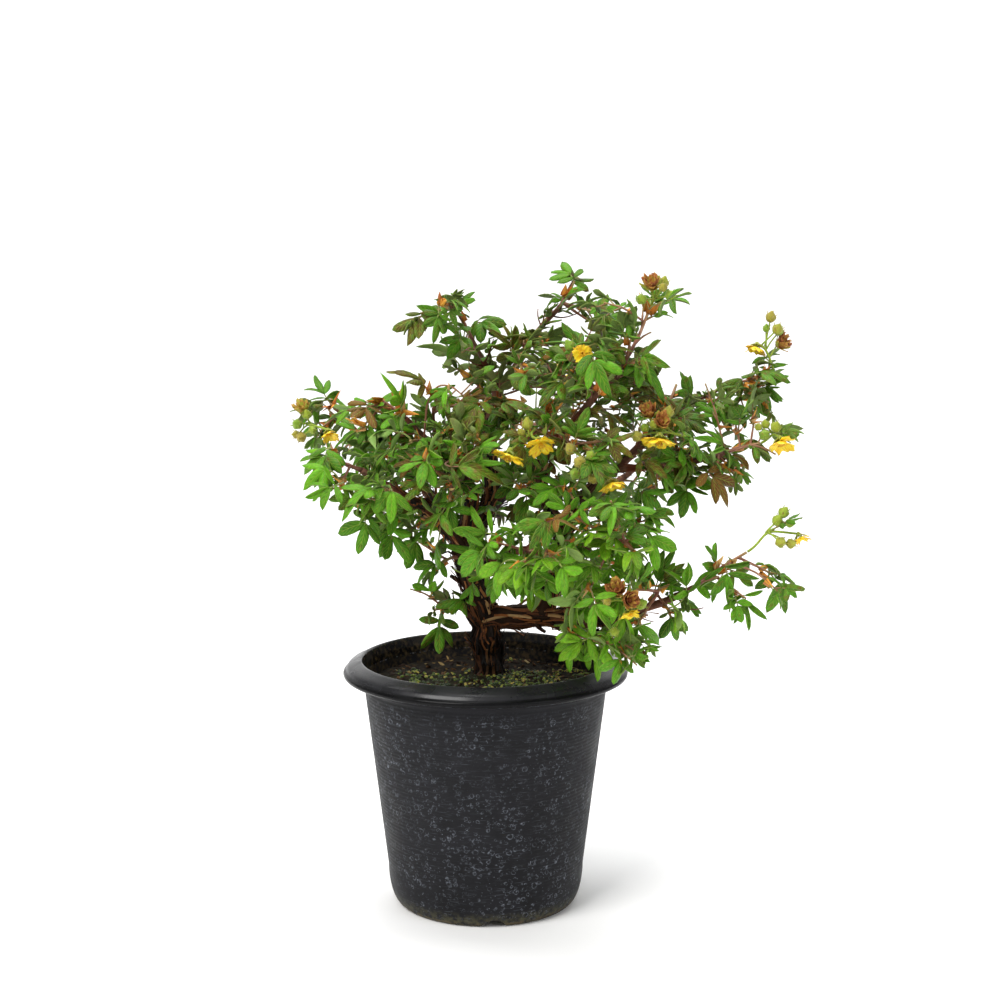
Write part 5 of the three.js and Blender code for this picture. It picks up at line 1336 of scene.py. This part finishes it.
# Tufts also stand on the thinner stretches of old wood, and a few on the stalk of each flower head.
LIMB_TUFT_SPACING = 6
LIMB_TUFT_RADIUS = 3.3
HEAD_LEAF_SHARES = (0.25, 0.45, 0.6, 0.72)
leaves_on_wood = []
for limb_name, (start, end, _) in LIMBS.items():
    rod = limb_rod(limb_name)
    length = rod_length(rod)
    shares = [1 - (i + 0.4) * LIMB_TUFT_SPACING / length for i in range(int(length / LIMB_TUFT_SPACING))]
    shares = [share for share in shares if start + (end - start) * share < LIMB_TUFT_RADIUS]
    if limb_name not in BARE_LIMBS:
        leaves_on_wood += tuft_leaves("wood", rod, shares)
for head_name, plan in plan_of.items():
    main = (plan["blooms"] + plan["dried"])[0][3]
    leaves_on_wood += tuft_leaves("head_" + head_name, main, HEAD_LEAF_SHARES)

# The blade of a leaflet is a thin sheet folded along its rib. Old leaves are dark and blotched
# brown, young ones yellow green. A patch lists its middle, across and up, its radius and the age
# of the leaves there. The usual age counts everywhere, with its weight.
BLADE_ROWS = 6
BLADE_COLUMNS = 4
BLADE_THICKNESS = 0.26
DRY_SHARE = 0.02
DRY_AGE = 1.1
OLDEST = 0.8
AGE_SPREAD = 0.11
USUAL_AGE = (0.5, 0.35)
EXTRA_PAIR = 0.55
EDGE_SHADE = 0.4
AGE_PATCHES = [
    (50, 170, 38, 0.12), (20, 175, 25, 0.3), (110, 175, 40, 0.42), (-70, 225, 45, 0.5), (30, 288, 30, 0.8),
    (70, 250, 26, 0.78), (5, 235, 25, 0.68), (-20, 300, 30, 0.62), (120, 255, 30, 0.6), (45, 320, 25, 0.45),
    (0, 190, 20, 0.4), (-25, 150, 15, 0.7),
]
blade_dice = random.Random(41)


def leaf_age(leaf):
    weights = [USUAL_AGE]
    for x, z, radius, age in AGE_PATCHES:
        near = math.hypot(leaf["hub"].x - x, leaf["hub"].z - z) / radius
        weights.append((age, math.exp(-near * near)))
    mean = sum(age * weight for age, weight in weights) / sum(weight for _, weight in weights)
    if blade_dice.random() < DRY_SHARE:
        return DRY_AGE
    return min(OLDEST, mean + blade_dice.gauss(0, AGE_SPREAD))


def add_leaflet(shape, leaf, leaflet, age, fold):
    """Bends a flat grid into one leaflet: folded at its rib, arched to its tip and a little wavy."""
    start, turn, length, width = leaflet
    length *= blade_dice.uniform(0.84, 1.06)
    width *= blade_dice.uniform(0.92, 1.4)
    turn += math.radians(blade_dice.gauss(0, 8))
    fold += blade_dice.gauss(0, 0.16)
    droop = blade_dice.gauss(0.016, 0.022)
    phase = blade_dice.uniform(0, 2 * math.pi)
    sway, tilt, twist = [blade_dice.gauss(0, spread) for spread in (0.09, 0.3, 0.5)]
    roll = blade_dice.uniform(0.1, 0.7)

    def bend(x, y):
        across = 2 * x
        even = y + 0.5
        share = 0.5 * even + 0.25 * (1 - math.cos(math.pi * even))
        outline = 2.52 * share**0.76 * (1 - share) ** 0.6 if 0 < share < 1 else 0
        half = max(0.09, width / 2 * outline)
        flat = across * half * math.cos(fold)
        raised = abs(across) * half * math.sin(fold) - roll * half * across**4
        leaning = tilt + twist * share
        off = flat * math.cos(leaning) - raised * math.sin(leaning) + sway * length * share * share
        reach = length * share
        lift = raised * math.cos(leaning) + flat * math.sin(leaning) - droop * reach * reach
        lift += 0.3 * math.sin(8 * share + phase) * across * abs(across)
        return on_leaf(leaf, math.sin(turn) * reach + math.cos(turn) * off,
                       start + math.cos(turn) * reach - math.sin(turn) * off, lift)
    return sheet(shape, BLADE_COLUMNS, BLADE_ROWS, bend, age=age, tint=blade_dice.random())


# Leaf blade: soft green with fine silky hairs, matt above and silvery beneath. The rib is pale
# and sunk, side veins run forward from it, and old blades are blotched purple brown.
def leaf_blade():
    add, finish = material("silky_cinquefoil_leaf")
    surface = add("SeparateXYZ", add("UVMap", uv_map="UVMap")).node.outputs
    off = add("Math", add("Math", surface[0], 0.5, operation="SUBTRACT"), operation="ABSOLUTE")
    layers = ("age", "tint", "under")
    age, tint, under = [add("Attribute", attribute_name=layer, out="Fac") for layer in layers]
    place = add("TexCoord", out="Object")
    cloud = add("TexNoise", place, Scale=1 / (5 * MM), Detail=3.0)
    aged = add("Math", age, add("MapRange", cloud, 0.3, 0.7, -0.1, 0.1))
    colour = add("ValToRGB", aged, stops=[
        (0.05, "#73a017"), (0.3, "#568f12"), (0.5, "#457c12"), (0.68, "#477014"), (0.88, "#5d6616"),
        (1, "#a8742e")])
    # Purple brown blotches about 3 mm across on leaves past their prime.
    spots = add("TexNoise", place, Scale=1 / (3.2 * MM), Detail=2.0)
    brown = add("Math", aged, add("Math", off, -0.3, spots, operation="MULTIPLY_ADD"))
    colour = add("MixRGB", add("MapRange", brown, 1.02, 1.3, 0, 0.85), colour, linear("#5a3a18"))
    mottle = add("MapRange", add("TexNoise", place, Scale=1 / (1.5 * MM), Detail=3.0), 0.3, 0.7, 0.78, 1.22)
    shade = add("Math", add("MapRange", tint, 0, 1, 0.62, 1.34), mottle, operation="MULTIPLY")
    colour = add("VectorMath", colour, operation="SCALE", Scale=shade)
    # Side veins leave the rib forwards: about seven pairs on a blade.
    forward = add("Math", off, -0.55, surface[1], operation="MULTIPLY_ADD")
    veins = add("Math", add("Math", forward, 44.0, operation="MULTIPLY"), operation="SINE")
    rib = add("MapRange", off, 0.04, 0.01, 0, 0.5)
    lines = add("Math", add("MapRange", veins, 0.55, 0.98), 0.3, rib, operation="MULTIPLY_ADD")
    colour = add("MixRGB", lines, colour, linear("#93a83a"))
    colour = add("MixRGB", add("MapRange", off, 0.45, 0.5, 0, 0.5), colour, linear("#8f983c"))
    colour = add("MixRGB", under, colour, add("MixRGB", 0.55, colour, linear("#84945a")))
    bump = add("Bump", Height=lines, Strength=0.9, Distance=0.45 * MM, invert=True)
    return finish(Base_Color=colour, Roughness=0.52, Specular_IOR_Level=0.2, Normal=bump)


# Leaf stalk: thin, green where young and flushed red brown with age, with silky hairs.
leaf_stalk = plant_matter(
    "silky_leaf_stalk", [(0.1, "#93a34a"), (0.45, "#7d8a3e"), (0.75, "#87633c"), (0.95, "#7b4a34")],
    (2, 0.9), (0.3, 0.1), darks=(0.3, 0.7, 0.8, 1.15), Roughness=0.6, Specular_IOR_Level=0.4,
    Sheen_Weight=0.2,
)
leaf_finishes = [leaf_blade(), leaf_stalk]


def leaf_shape(leaf):
    shape = started("age", "tint", "under", mapped=True)
    age = leaf_age(leaf)
    fold = abs(blade_dice.gauss(0.42, 0.3))
    leaflets = leaflets_of(leaf)
    if leaf["leaflets"] == 3 and blade_dice.random() < EXTRA_PAIR:
        length, width, turn = LOWER_LEAFLET
        size = 0.8 * leaf["size"]
        leaflets += [(-RACHIS * size, math.radians(side * turn), length * size, width * size)
                     for side in (1, -1)]
    upper = set()
    for leaflet in leaflets:
        upper |= add_leaflet(shape, leaf, leaflet, age, fold)
    # The stalk leaves the twig, bends into line with the leaf and ends at its last leaflets.
    base, hub = leaf["base"], leaf["hub"]
    bend = base.lerp(hub, 0.55) - leaf["along"] * (0.22 * (hub - base).length)
    end = on_leaf(leaf, 0, leaflets[0][0] + 2 * leaf["size"], -BLADE_THICKNESS)
    rod = eased([base, bend, on_leaf(leaf, 0, 0, -BLADE_THICKNESS), end], 2.4, 2)
    redness = min(1, max(0, age + blade_dice.gauss(0, 0.2)))
    tube(shape, rod, lambda share, turn: 0.5 - 0.2 * share, 5, finish=1, age=redness)
    lower = thickened(shape, list(upper), BLADE_THICKNESS)
    under = shape.faces.layers.float["under"]
    for face in shape.faces:
        if face in lower:
            face[under] = 1
        elif face.material_index == 0 and face not in upper:
            face.smooth = False
            face[under] = EDGE_SHADE
    return close(shape)


def leaves_shape(leaves):
    return joined(leaf_shape(leaf) for leaf in leaves)


# The foot of each leaf stalk sits in a pair of stipules that clasp the twig. Old ones stay on the
# twigs as rusty tufts after their leaves have dropped. Each tuft is listed as the front view shows
# it, across and up.
STIPULE_LENGTHS = (4, 8.5)
STIPULE_WIDTHS = (1.8, 3.4)
OLD_STIPULE_SIZE = 1.35
STIPULE_THICKNESS = 0.15
STIPULE_ROWS = 4
STIPULE_SHARE = 0.6
OLD_STIPULES = [
    (-80, 264), (-57, 270), (-28, 270), (-16.5, 313), (43, 321), (59, 271), (145, 285), (138, 271),
    (124, 178), (146, 198), (-28, 223), (-73, 255), (-38, 261), (18, 282), (85, 318), (-96, 262), (30, 262),
    (101, 262),
]
STIPULES_IN_TUFT = 3
TUFT_REACH = 12
stipule_dice = random.Random(59)


def stipules_shape(base, springing, heading, size=1):
    """Two papery blades that run up from the foot of a leaf stalk and flare from the twig."""
    shape = started("age", mapped=True)
    for side in (-1, 1):
        length = size * stipule_dice.uniform(*STIPULE_LENGTHS)
        width = size * stipule_dice.uniform(*STIPULE_WIDTHS)
        aim = (heading * 0.6 + springing * stipule_dice.uniform(0.4, 1)).normalized()
        out = (springing - aim * springing.dot(aim)).normalized()
        across = aim.cross(out) * side

        def bend(x, y):
            share = y + 0.5
            off = x * width * max(0.1, 1 - share**1.8)
            flare = 0.9 + 0.5 * share + 0.9 * share * share + 1.6 * off * off / width
            return base + aim * (length * share - 0.6) + across * (off + 0.5) + out * flare
        sheet(shape, 2, STIPULE_ROWS, bend, 1, age=stipule_dice.random())
    thickened(shape, shape.faces[:], STIPULE_THICKNESS)
    return close(shape)


def twigs_shape(twigs, radii, leaves):
    shape = started("age", mapped=True)
    age = shape.faces.layers.float["age"]
    for twig, radius in zip(twigs, radii):
        rod = eased(twig, 2.0)
        length = rod_length(rod)
        for face in tube(shape, rod, knuckled(radius, length), 7):
            far = min(1, (face.calc_center_median() - rod[0]).length / length)
            face[age] = 0.8 * radius[0] * (1 - far) + 0.12
    parts = [close(shape)]
    for leaf in leaves:
        if stipule_dice.random() < STIPULE_SHARE:
            springing = (leaf["hub"] - leaf["base"]).normalized()
            parts.append(stipules_shape(leaf["base"], springing, rod_heading(twigs[0], 0.9)))
    return joined(parts)


def old_stipules_shape():
    rods = [twig for twigs in twigs_of.values() for twig in twigs] + shoots
    places = [(rod_point(rod, i / 10), rod_heading(rod, i / 10)) for rod in rods for i in range(11)]
    tufts = []
    for spot in OLD_STIPULES:
        near = [pair for pair in places if math.dist(as_seen(pair[0]), spot) < TUFT_REACH]
        if not near:
            continue
        place, heading = min(near, key=lambda pair: pair[0].y + 2 * math.dist(as_seen(pair[0]), spot))
        for _ in range(STIPULES_IN_TUFT):
            away = Vector((stipule_dice.gauss(0, 0.7), -1, stipule_dice.gauss(0.3, 0.6)))
            away = (away - away.dot(heading) * heading).normalized()
            tufts.append(stipules_shape(place, away, heading, OLD_STIPULE_SIZE))
    return joined(tufts)


piece("old_stipules", old_stipules_shape(), twig_finishes, "old_bark")
for name, twigs in twigs_of.items():
    leaves = [leaf for leaf in leaves_of[name] if leaf]
    radii = [MAIN_TWIG_RADIUS] + [SIDE_TWIG_RADIUS] * (len(twigs) - 1)
    piece("twigs_" + name, twigs_shape(twigs, radii, leaves), twig_finishes, "old_bark", "spray_" + name)
    piece("leaves_" + name, leaves_shape(leaves), leaf_finishes, "leaf", "spray_" + name)
radii = [SHOOT_RADIUS] * len(shoots)
piece("inner_shoots", twigs_shape(shoots, radii, leaves_on_shoots), twig_finishes, "old_bark")
for part in range(3):
    piece(f"inner_leaves_{part + 1}", leaves_shape(leaves_on_shoots[part::3]), leaf_finishes, "leaf")
piece("leaves_on_wood_and_heads", leaves_shape(leaves_on_wood), leaf_finishes, "leaf")

# Flower heads: thin hairy stalks with nodding yellow flowers half closed, flowers that have dried
# to brown balls, and buds. Each flower sits in a cup of five pointed sepals over narrow bracts.
PETALS = 5
PETAL_LENGTH = 8.4
PETAL_WIDTH = 10.2
PETAL_CUP = 3.6
PETAL_THICKNESS = 0.2
SEPAL_LENGTH = 6.0
SEPAL_WIDTH = 3.3
BRACT_LENGTH = 5.0
BRACT_WIDTH = 1.3
CUP_POWER = 1.6
BUD_RADIUS = 2.8
MAIN_STALK_RADIUS = 0.68
SIDE_STALK_RADIUS = 0.46
STAMENS = 16
STAMEN_HEIGHT = 3.2
STAMEN_RADIUS = 0.12
ANTHER_RADIUS = 0.34
SEED_HEAD_RADIUS = 1.7
DRIED_HEAD_RADIUS = 2.3
DRIED_HEAD_LIFT = 1.6
DOUBLED = ("low", "shoulder")
DOUBLED_STEP = Vector((4.5, -1.5, -3.5))
RIPENESS = {"left": 0.35, "top": 0.8, "shoulder": 0.75}
HAIRS_PER_HEAD = 200
HAIR_LENGTH = 0.8
HAIR_RADIUS = (0.05, 0.008)
BUD_STALK_START = 0.62
MORE_BUDS = {
    "centre": [(46, -72, 244, 1.05), (51.5, -70, 247, 0.9), (56, -66, 246.5, 1.0), (52.5, -73, 236, 0.9),
        (41.5, -66, 250, 0.85)],
    "top": [(78.5, -22, 320, 0.95), (87, -18, 329, 0.8), (89, -26, 326, 0.8)],
    "right_high": [(153, 14, 302, 0.9), (147, 18, 303, 0.7)],
    "right_low": [(146, -44, 211, 1.0), (152, -46, 210, 0.8), (152.5, -48, 200, 0.9)],
    "left": [(-95, 26, 257, 0.9), (-101, 28, 246, 0.8), (-92, 24, 249, 0.8)],
    "right": [(142, -23, 257, 0.8), (138, -26, 256, 0.7)],
    "low": [(63, -80, 162, 0.85), (59, -84, 178, 0.8)],
    "shoulder": [(79, -48, 258, 0.8), (83, -50, 260, 0.75)],
    "middle": [(18, -52, 256, 0.75)],
}
# A dried flower's rings, from the outside in: how many lobes, their length, width and cup, their
# form and tone, and how high they stand.
RINGS = [
    (5, 5.6, 4.4, 5.6, (0.8, 0.35, 0.2), 0.05, -0.4), (5, 4.9, 5.2, 7.4, (0.25, 0.6, 0.4), 0.45, 0),
    (5, 4.2, 4.6, 7.2, (0.25, 0.6, 0.4), 0.7, 0.4), (6, 3.0, 3.0, 6.6, (0.4, 0.4, 0.4), 0.4, 0.8),
]
flower_dice = random.Random(83)


def flower_sides(face):
    across = Vector((face.z, 0, -face.x)).normalized()
    return across, face.cross(across)


def add_lobe(shape, hub, face, turn, length, width, cup, form, tone, rows=6, columns=6):
    """One petal, sepal or bract: a sheet bent into a share of a cup that stands on a hub.

    The form holds how pointed its end is, how far it is crumpled and how far its edge is torn.
    """
    point, crumple, torn = form
    across, along = flower_sides(face)
    out = across * math.cos(turn) + along * math.sin(turn)
    side = face.cross(out)
    phase = [flower_dice.uniform(0, 6) for _ in range(3)]
    tear = [torn * flower_dice.uniform(-1, 1) for _ in range(columns + 1)]

    def bend(x, y):
        off = 2 * x
        share = y + 0.5
        swell = math.sin(math.pi / 2 * min(1, share / (0.72 - 0.3 * point)))
        half = width / 2 * (0.22 + 0.78 * swell) * (1 - point * share**1.5)
        half *= 1 - 0.2 * (1 - point) * max(0, (share - 0.6) / 0.4) ** 2
        reach = length * share * (1 - 0.2 * (1 - point) * off * off * share)
        reach += tear[round((x + 0.5) * columns)] * share**3
        ruffle = math.sin(2.6 * off + phase[0]) * 0.6 + math.sin(5.5 * off + 4 * share + phase[1]) * 0.4
        lift = cup * (max(0, math.hypot(reach, off * half)) / length) ** CUP_POWER
        lift += crumple * ruffle * share**1.4
        sway = crumple * 0.4 * math.sin(5 * share + phase[2]) * share
        return hub + out * reach + side * (off * half + sway) + face * lift
    return sheet(shape, columns, rows, bend, age=tone)


def add_calyx(shape, hub, face, size, cup):
    """Five sepals, with a narrow bract behind each gap."""
    turn = flower_dice.uniform(0, 6)
    sheets = []
    for i in range(5):
        angle = turn + math.radians(72 * i + flower_dice.uniform(-5, 5))
        tone = flower_dice.uniform(0.3, 0.65)
        sheets += add_lobe(shape, hub, face, angle, SEPAL_LENGTH * size, SEPAL_WIDTH * size, cup,
                           (0.92, 0.25, 0.1), tone)
        sheets += add_lobe(shape, hub - face * 0.45, face, angle + math.radians(36), BRACT_LENGTH * size,
                           BRACT_WIDTH * size, cup, (0.75, 0.15, 0.1), tone + 0.2, rows=4, columns=2)
    return sheets


def add_egg(shape, place, face, radius, tone):
    """A closed bud, or the seed head of a flower: an egg with five lobes and a pointed end."""
    made = bmesh.ops.create_uvsphere(shape, u_segments=20, v_segments=10, radius=1)
    turning = UP.rotation_difference(face).to_matrix()
    paint(shape, made, age=tone)
    for corner in made["verts"]:
        x, y, z = corner.co
        lobed = 1 + 0.09 * math.cos(5 * math.atan2(y, x)) * (1 - z * z)
        narrow = lobed * (1 - 0.35 * max(0, z) ** 1.3)
        height = z * 1.05 + 0.4 * max(0, z) ** 5
        corner.co = place + turning @ (Vector((x * narrow, y * narrow, height)) * radius)


def add_bud(shape, place, face, size):
    tone = flower_dice.uniform(0.2, 0.7)
    radius = BUD_RADIUS * size
    add_egg(shape, place, face, radius, tone)
    turn = flower_dice.uniform(0, 6)
    foot = place - face * radius * 0.95
    sheets = []
    for i in range(5):
        sheets += add_lobe(shape, foot, face, turn + math.radians(72 * i), 1.15 * radius, 0.5 * radius,
                           1.9 * radius, (0.8, 0.1, 0.1), tone + 0.15, rows=5, columns=2)
    return sheets


def hairs_on(shape, count):
    """Fine straight hairs, as slim three-sided cones that stand on faces picked by their area."""
    faces = sorted(shape.faces, key=lambda face: face.calc_center_median()[:])
    areas = [min(face.calc_area(), 0.6) for face in faces]
    hairs = []
    for face in flower_dice.choices(faces, areas, k=count):
        aim = (face.normal + scattered(flower_dice.uniform, -0.4, 0.4)).normalized()
        length = HAIR_LENGTH * flower_dice.uniform(0.6, 1.3)
        turning = UP.rotation_difference(aim).to_matrix().to_4x4()
        place = Matrix.Translation(face.calc_center_median() + aim * (length / 2 - 0.05)) @ turning
        hair = started("age", mapped=True)
        made = bmesh.ops.create_cone(
            hair, cap_ends=True, segments=3, radius1=HAIR_RADIUS[0], radius2=HAIR_RADIUS[1],
            depth=length, matrix=place,
        )
        paint(hair, made, smooth=False, age=1)
        hairs.append(hair)
    return hairs


# Calyx, buds and flower stalks: hairy yellow green. Old ones are flushed red brown in streaks.
hairy_calyx = plant_matter(
    "hairy_green_calyx", [(0.1, "#6f9a26"), (0.45, "#93a62c"), (0.75, "#a08a34"), (0.97, "#c9c690")],
    (3, 1.3), (0.4, 0.2), stain=(0.56, 0.7, 0, 0.65, "#7a4527"), darks=(0.3, 0.6, 0.75, 1.1),
    Roughness=0.62, Specular_IOR_Level=0.35, Sheen_Weight=0.15,
)


# Yellow petal: thin and bright, crumpled on opening, its torn end brown. Its folds hold painted orange
# shade and its ridges painted pale highlights.
def crumpled_petal():
    add, finish = material("crumpled_yellow_petal")
    surface = add("UVMap", uv_map="UVMap")
    place = add("TexCoord", out="Object")
    shift = add("VectorMath", place, operation="SCALE", Scale=200.0)
    creases = add("VectorMath", add("Mapping", surface, Scale=(9, 1.8, 1)), shift)
    crease = add("TexNoise", creases, Scale=1.0, Detail=3.0, Distortion=0.4)
    # The crease relief also sets the colour: painted orange shade in the folds, painted pale highlights on
    # the ridges.
    colour = add("ValToRGB", crease, stops=[
        (0.3, "#e6a012"), (0.42, "#f6cc18"), (0.54, "#fce424"), (0.75, "#fff06a")])
    cloud = add("TexNoise", place, Scale=1 / (2.2 * MM), Detail=3.0)
    worn = add("Math", cloud, 0.55, add("SeparateXYZ", surface, out=1), operation="MULTIPLY_ADD")
    colour = add("MixRGB", add("MapRange", worn, 1.18, 1.34, 0, 0.85), colour, linear("#9a5a1c"))
    age = add("Attribute", attribute_name="age", out="Fac")
    return finish(
        Base_Color=add("MixRGB", age, colour, linear("#e0a83a")), Roughness=0.5,
        Specular_IOR_Level=0.4, Subsurface_Weight=0.12, Subsurface_Scale=1.2 * MM,
        Normal=add("Bump", Height=crease, Strength=0.5, Distance=0.5 * MM),
    )


# Stamens: gold threads with brown orange heads.
def stamen_thread():
    add, finish = material("gold_stamen")
    along = add("SeparateXYZ", add("UVMap", uv_map="UVMap"), out=1)
    tone = add("ValToRGB", add("Math", along, 0.25, operation="MULTIPLY"),
               stops=[(0.55, "#e6b422"), (0.8, "#a8641c")])
    return finish(Base_Color=tone, Roughness=0.55, Specular_IOR_Level=0.4)


# Dried flower: petals and sepals shrivelled to brown paper, orange brown where thin.
dried_petal = plant_matter(
    "shrivelled_brown_petal",
    [(0.0, "#93a032"), (0.28, "#b08438"), (0.55, "#96562a"), (0.8, "#643418"), (1.0, "#c8924a")],
    (4, 1.6), (0.6, 0.4), drift=(0.3, 0.7, -0.25, 0.25), Roughness=0.75, Specular_IOR_Level=0.35,
)


def stalks_shape(name, plan):
    """The green parts of a head: stalks, calyxes and buds, with their hairs."""
    shape = started("age", mapped=True)
    sheets = []
    flowers = plan["blooms"] + plan["dried"] + plan["buds"]
    main = flowers[0][3]
    rods = [(main, MAIN_STALK_RADIUS)] + [(flower[3], SIDE_STALK_RADIUS) for flower in flowers[1:]]
    for *place, size in MORE_BUDS.get(name, ()):
        start = rod_point(main, BUD_STALK_START)
        bud = Vector(place)
        face = flower_face(start, bud, 0)
        foot = bud - face * BUD_RADIUS * size * 0.8
        rods.append(([start, start.lerp(bud, 0.5) + UP, foot], SIDE_STALK_RADIUS))
        sheets += add_bud(shape, bud, face, size)
    for rod, radius in rods:
        tube(shape, eased(rod, 2.5), lambda share, turn: radius * (1 - 0.15 * share), 7, age=0.35)
    for flower, face, size, stalk in plan["buds"]:
        sheets += add_bud(shape, flower, face, 1)
    for flower, face, size, stalk in plan["blooms"]:
        hub = flower - face * SEATS["blooms"]
        sheets += add_calyx(shape, hub, face, size, PETAL_CUP * 1.1 * size)
        add_egg(shape, hub, face, SEED_HEAD_RADIUS * size, 0.5)
    thickened(shape, sheets, PETAL_THICKNESS)
    return joined([*hairs_on(close(shape), HAIRS_PER_HEAD), shape])


def stamen_radius(share, turn):
    return ANTHER_RADIUS if share > 0.8 else STAMEN_RADIUS


def petals_shape(blooms):
    shape = started("age", mapped=True)
    petals = []
    for flower, face, size, stalk in blooms:
        # A nodding flower hangs so that its edge is seen from the front.
        if face.z < -0.5:
            face = (face + Vector((0, 0.24, 0))).normalized()
        turn = flower_dice.uniform(0, 6)
        cup = PETAL_CUP * (1.15 - 0.15 * size)
        for i in range(PETALS):
            angle = turn + math.radians(72 * i + flower_dice.uniform(-8, 8))
            length = PETAL_LENGTH * size * flower_dice.uniform(0.9, 1.08)
            width = PETAL_WIDTH * size * flower_dice.uniform(0.85, 1.1)
            high = cup * flower_dice.uniform(0.1, 1.2)
            age = flower_dice.uniform(0, 0.35)
            petals += add_lobe(shape, flower + face * (0.1 * i), face, angle, length, width, high,
                               (0, 1.25 * size, 0.8), age, rows=8, columns=8)
        across, along = flower_sides(face)
        for i in range(STAMENS):
            angle = 2 * math.pi * i / STAMENS + flower_dice.uniform(-0.15, 0.15)
            out = across * math.cos(angle) + along * math.sin(angle)
            spread = size * flower_dice.uniform(1.0, 2.2)
            rise = face * (STAMEN_HEIGHT * size)
            middle = flower + rise / 2 + out * (0.7 * spread)
            rod = eased([flower + face * 0.2, middle, flower + rise + out * spread], 0.8, 1)
            tube(shape, rod, stamen_radius, 5, finish=1)
    thickened(shape, petals, PETAL_THICKNESS)
    return close(shape)


def dried_shape(flowers, ripeness):
    """Sepals and petals that have curled in over the seed head, as a loose brown ball."""
    shape = started("age", mapped=True)
    sheets = []
    for flower, face in flowers:
        turn = flower_dice.uniform(0, 6)
        add_egg(shape, flower + face * DRIED_HEAD_LIFT, face, DRIED_HEAD_RADIUS, 0.75 * ripeness)
        for count, length, width, cup, form, tone, lift in RINGS:
            turn += 0.5
            for i in range(count):
                angle = turn + 2 * math.pi * i / count + flower_dice.uniform(-0.25, 0.25)
                grown = length * flower_dice.uniform(0.8, 1.15)
                wide = width * flower_dice.uniform(0.8, 1.2)
                high = cup * flower_dice.uniform(0.75, 1.05)
                age = (tone + flower_dice.uniform(-0.12, 0.2)) * ripeness
                sheets += add_lobe(shape, flower + face * lift, face, angle, grown, wide, high, form, age,
                                   columns=4)
    thickened(shape, sheets, PETAL_THICKNESS)
    return close(shape)


petal_finishes = [crumpled_petal(), stamen_thread()]
for name, plan in plan_of.items():
    piece("flower_stalks_" + name, stalks_shape(name, plan), [hairy_calyx], "flower_stalk", "head_" + name)
    if plan["blooms"]:
        nodes = ["corolla_" + name + (f"_{i + 1}" if i else "") for i in range(len(plan["blooms"]))]
        piece("petals_" + name, petals_shape(plan["blooms"]), petal_finishes, "yellow_petal", *nodes)
    if plan["dried"]:
        dried = [(flower, face) for flower, face, size, stalk in plan["dried"]]
        if name in DOUBLED:
            dried.append((dried[0][0] + DOUBLED_STEP, (dried[0][1] + DOUBLED_STEP / 9).normalized()))
        ball = dried_shape(dried, RIPENESS.get(name, 1))
        piece("dried_flower_" + name, ball, [dried_petal], "dried_petal", "dried_" + name)

# Stage: a pale floor that sweeps up behind the plant, under soft studio lamps. The camera stands
# a metre from the pot's axis, looking a little down. Sizes are in metres, and the lens and the film
# are in millimetres.
SWEEP_WIDTH = 9.0
SWEEP_FRONT = -2.5
SWEEP_BACK = 2.2
SWEEP_BEND = 1.2
SWEEP_HEIGHT = 3.2
MIDDLE = (0.02, 0, 0.2)
LENS = 69.84
FILM_WIDTH = 36
LOOKING_DOWN = 8.37
camera_data = bpy.data.cameras.new("camera")
camera_data.lens = LENS
camera_data.sensor_width = FILM_WIDTH
camera = bpy.data.objects.new("camera", camera_data)
camera.location = EYE * MM
camera.rotation_euler = (math.radians(90 - LOOKING_DOWN), 0, 0)
bpy.context.scene.collection.objects.link(camera)
bpy.context.scene.camera = camera


def swept(x, y):
    """A place on the paper: it lies flat in front, bends, and stands upright at the back."""
    flat = SWEEP_BACK - SWEEP_FRONT
    curve = SWEEP_BEND * math.pi / 2
    run = (y + 0.5) * (flat + curve + SWEEP_HEIGHT)
    bend = min(max(run - flat, 0) / SWEEP_BEND, math.pi / 2)
    depth = SWEEP_FRONT + min(run, flat) + SWEEP_BEND * math.sin(bend)
    return x * SWEEP_WIDTH, depth, SWEEP_BEND * (1 - math.cos(bend)) + max(0, run - flat - curve)


_, finish = material("matt_white_paper")
paper = finish(Base_Color=linear("#fbfbfb"), Roughness=0.9)
sweep = bmesh.new()
sheet(sweep, 2, 40, swept)
bmesh.ops.recalc_face_normals(sweep, faces=sweep.faces)
floor = thing("floor_sweep", sweep, [paper], unit=1)


def lamp(name, place, aim, size, power, colour):
    data = bpy.data.lights.new(name, "AREA")
    data.shape = "RECTANGLE"
    data.size, data.size_y = size
    data.energy = power
    data.color = colour
    made = bpy.data.objects.new(name, data)
    made.location = place
    made.rotation_euler = (Vector(aim) - Vector(place)).to_track_quat("-Z", "Y").to_euler()
    bpy.context.scene.collection.objects.link(made)


lamp("key", (-1.1, -1.3, 1.7), MIDDLE, (1.2, 1.2), 46, (1.0, 0.99, 0.97))
lamp("fill", (1.5, -1.2, 0.9), MIDDLE, (1.2, 1.0), 9, (0.98, 0.99, 1.0))
lamp("top", (0.1, 0.3, 1.9), MIDDLE, (1.2, 1.2), 27, (1.0, 1.0, 1.0))
lamp("back_wall", (0, 1.2, 2.6), (0, 3.4, 0.9), (4, 1), 60, (1.0, 1.0, 1.0))
world = bpy.data.worlds.new("studio")
world.use_nodes = True
sky = world.node_tree.nodes["Background"]
sky.inputs["Color"].default_value = linear("#ffffff")
sky.inputs["Strength"].default_value = 0.38
bpy.context.scene.world = world
bpy.context.scene.view_settings.view_transform = "Standard"
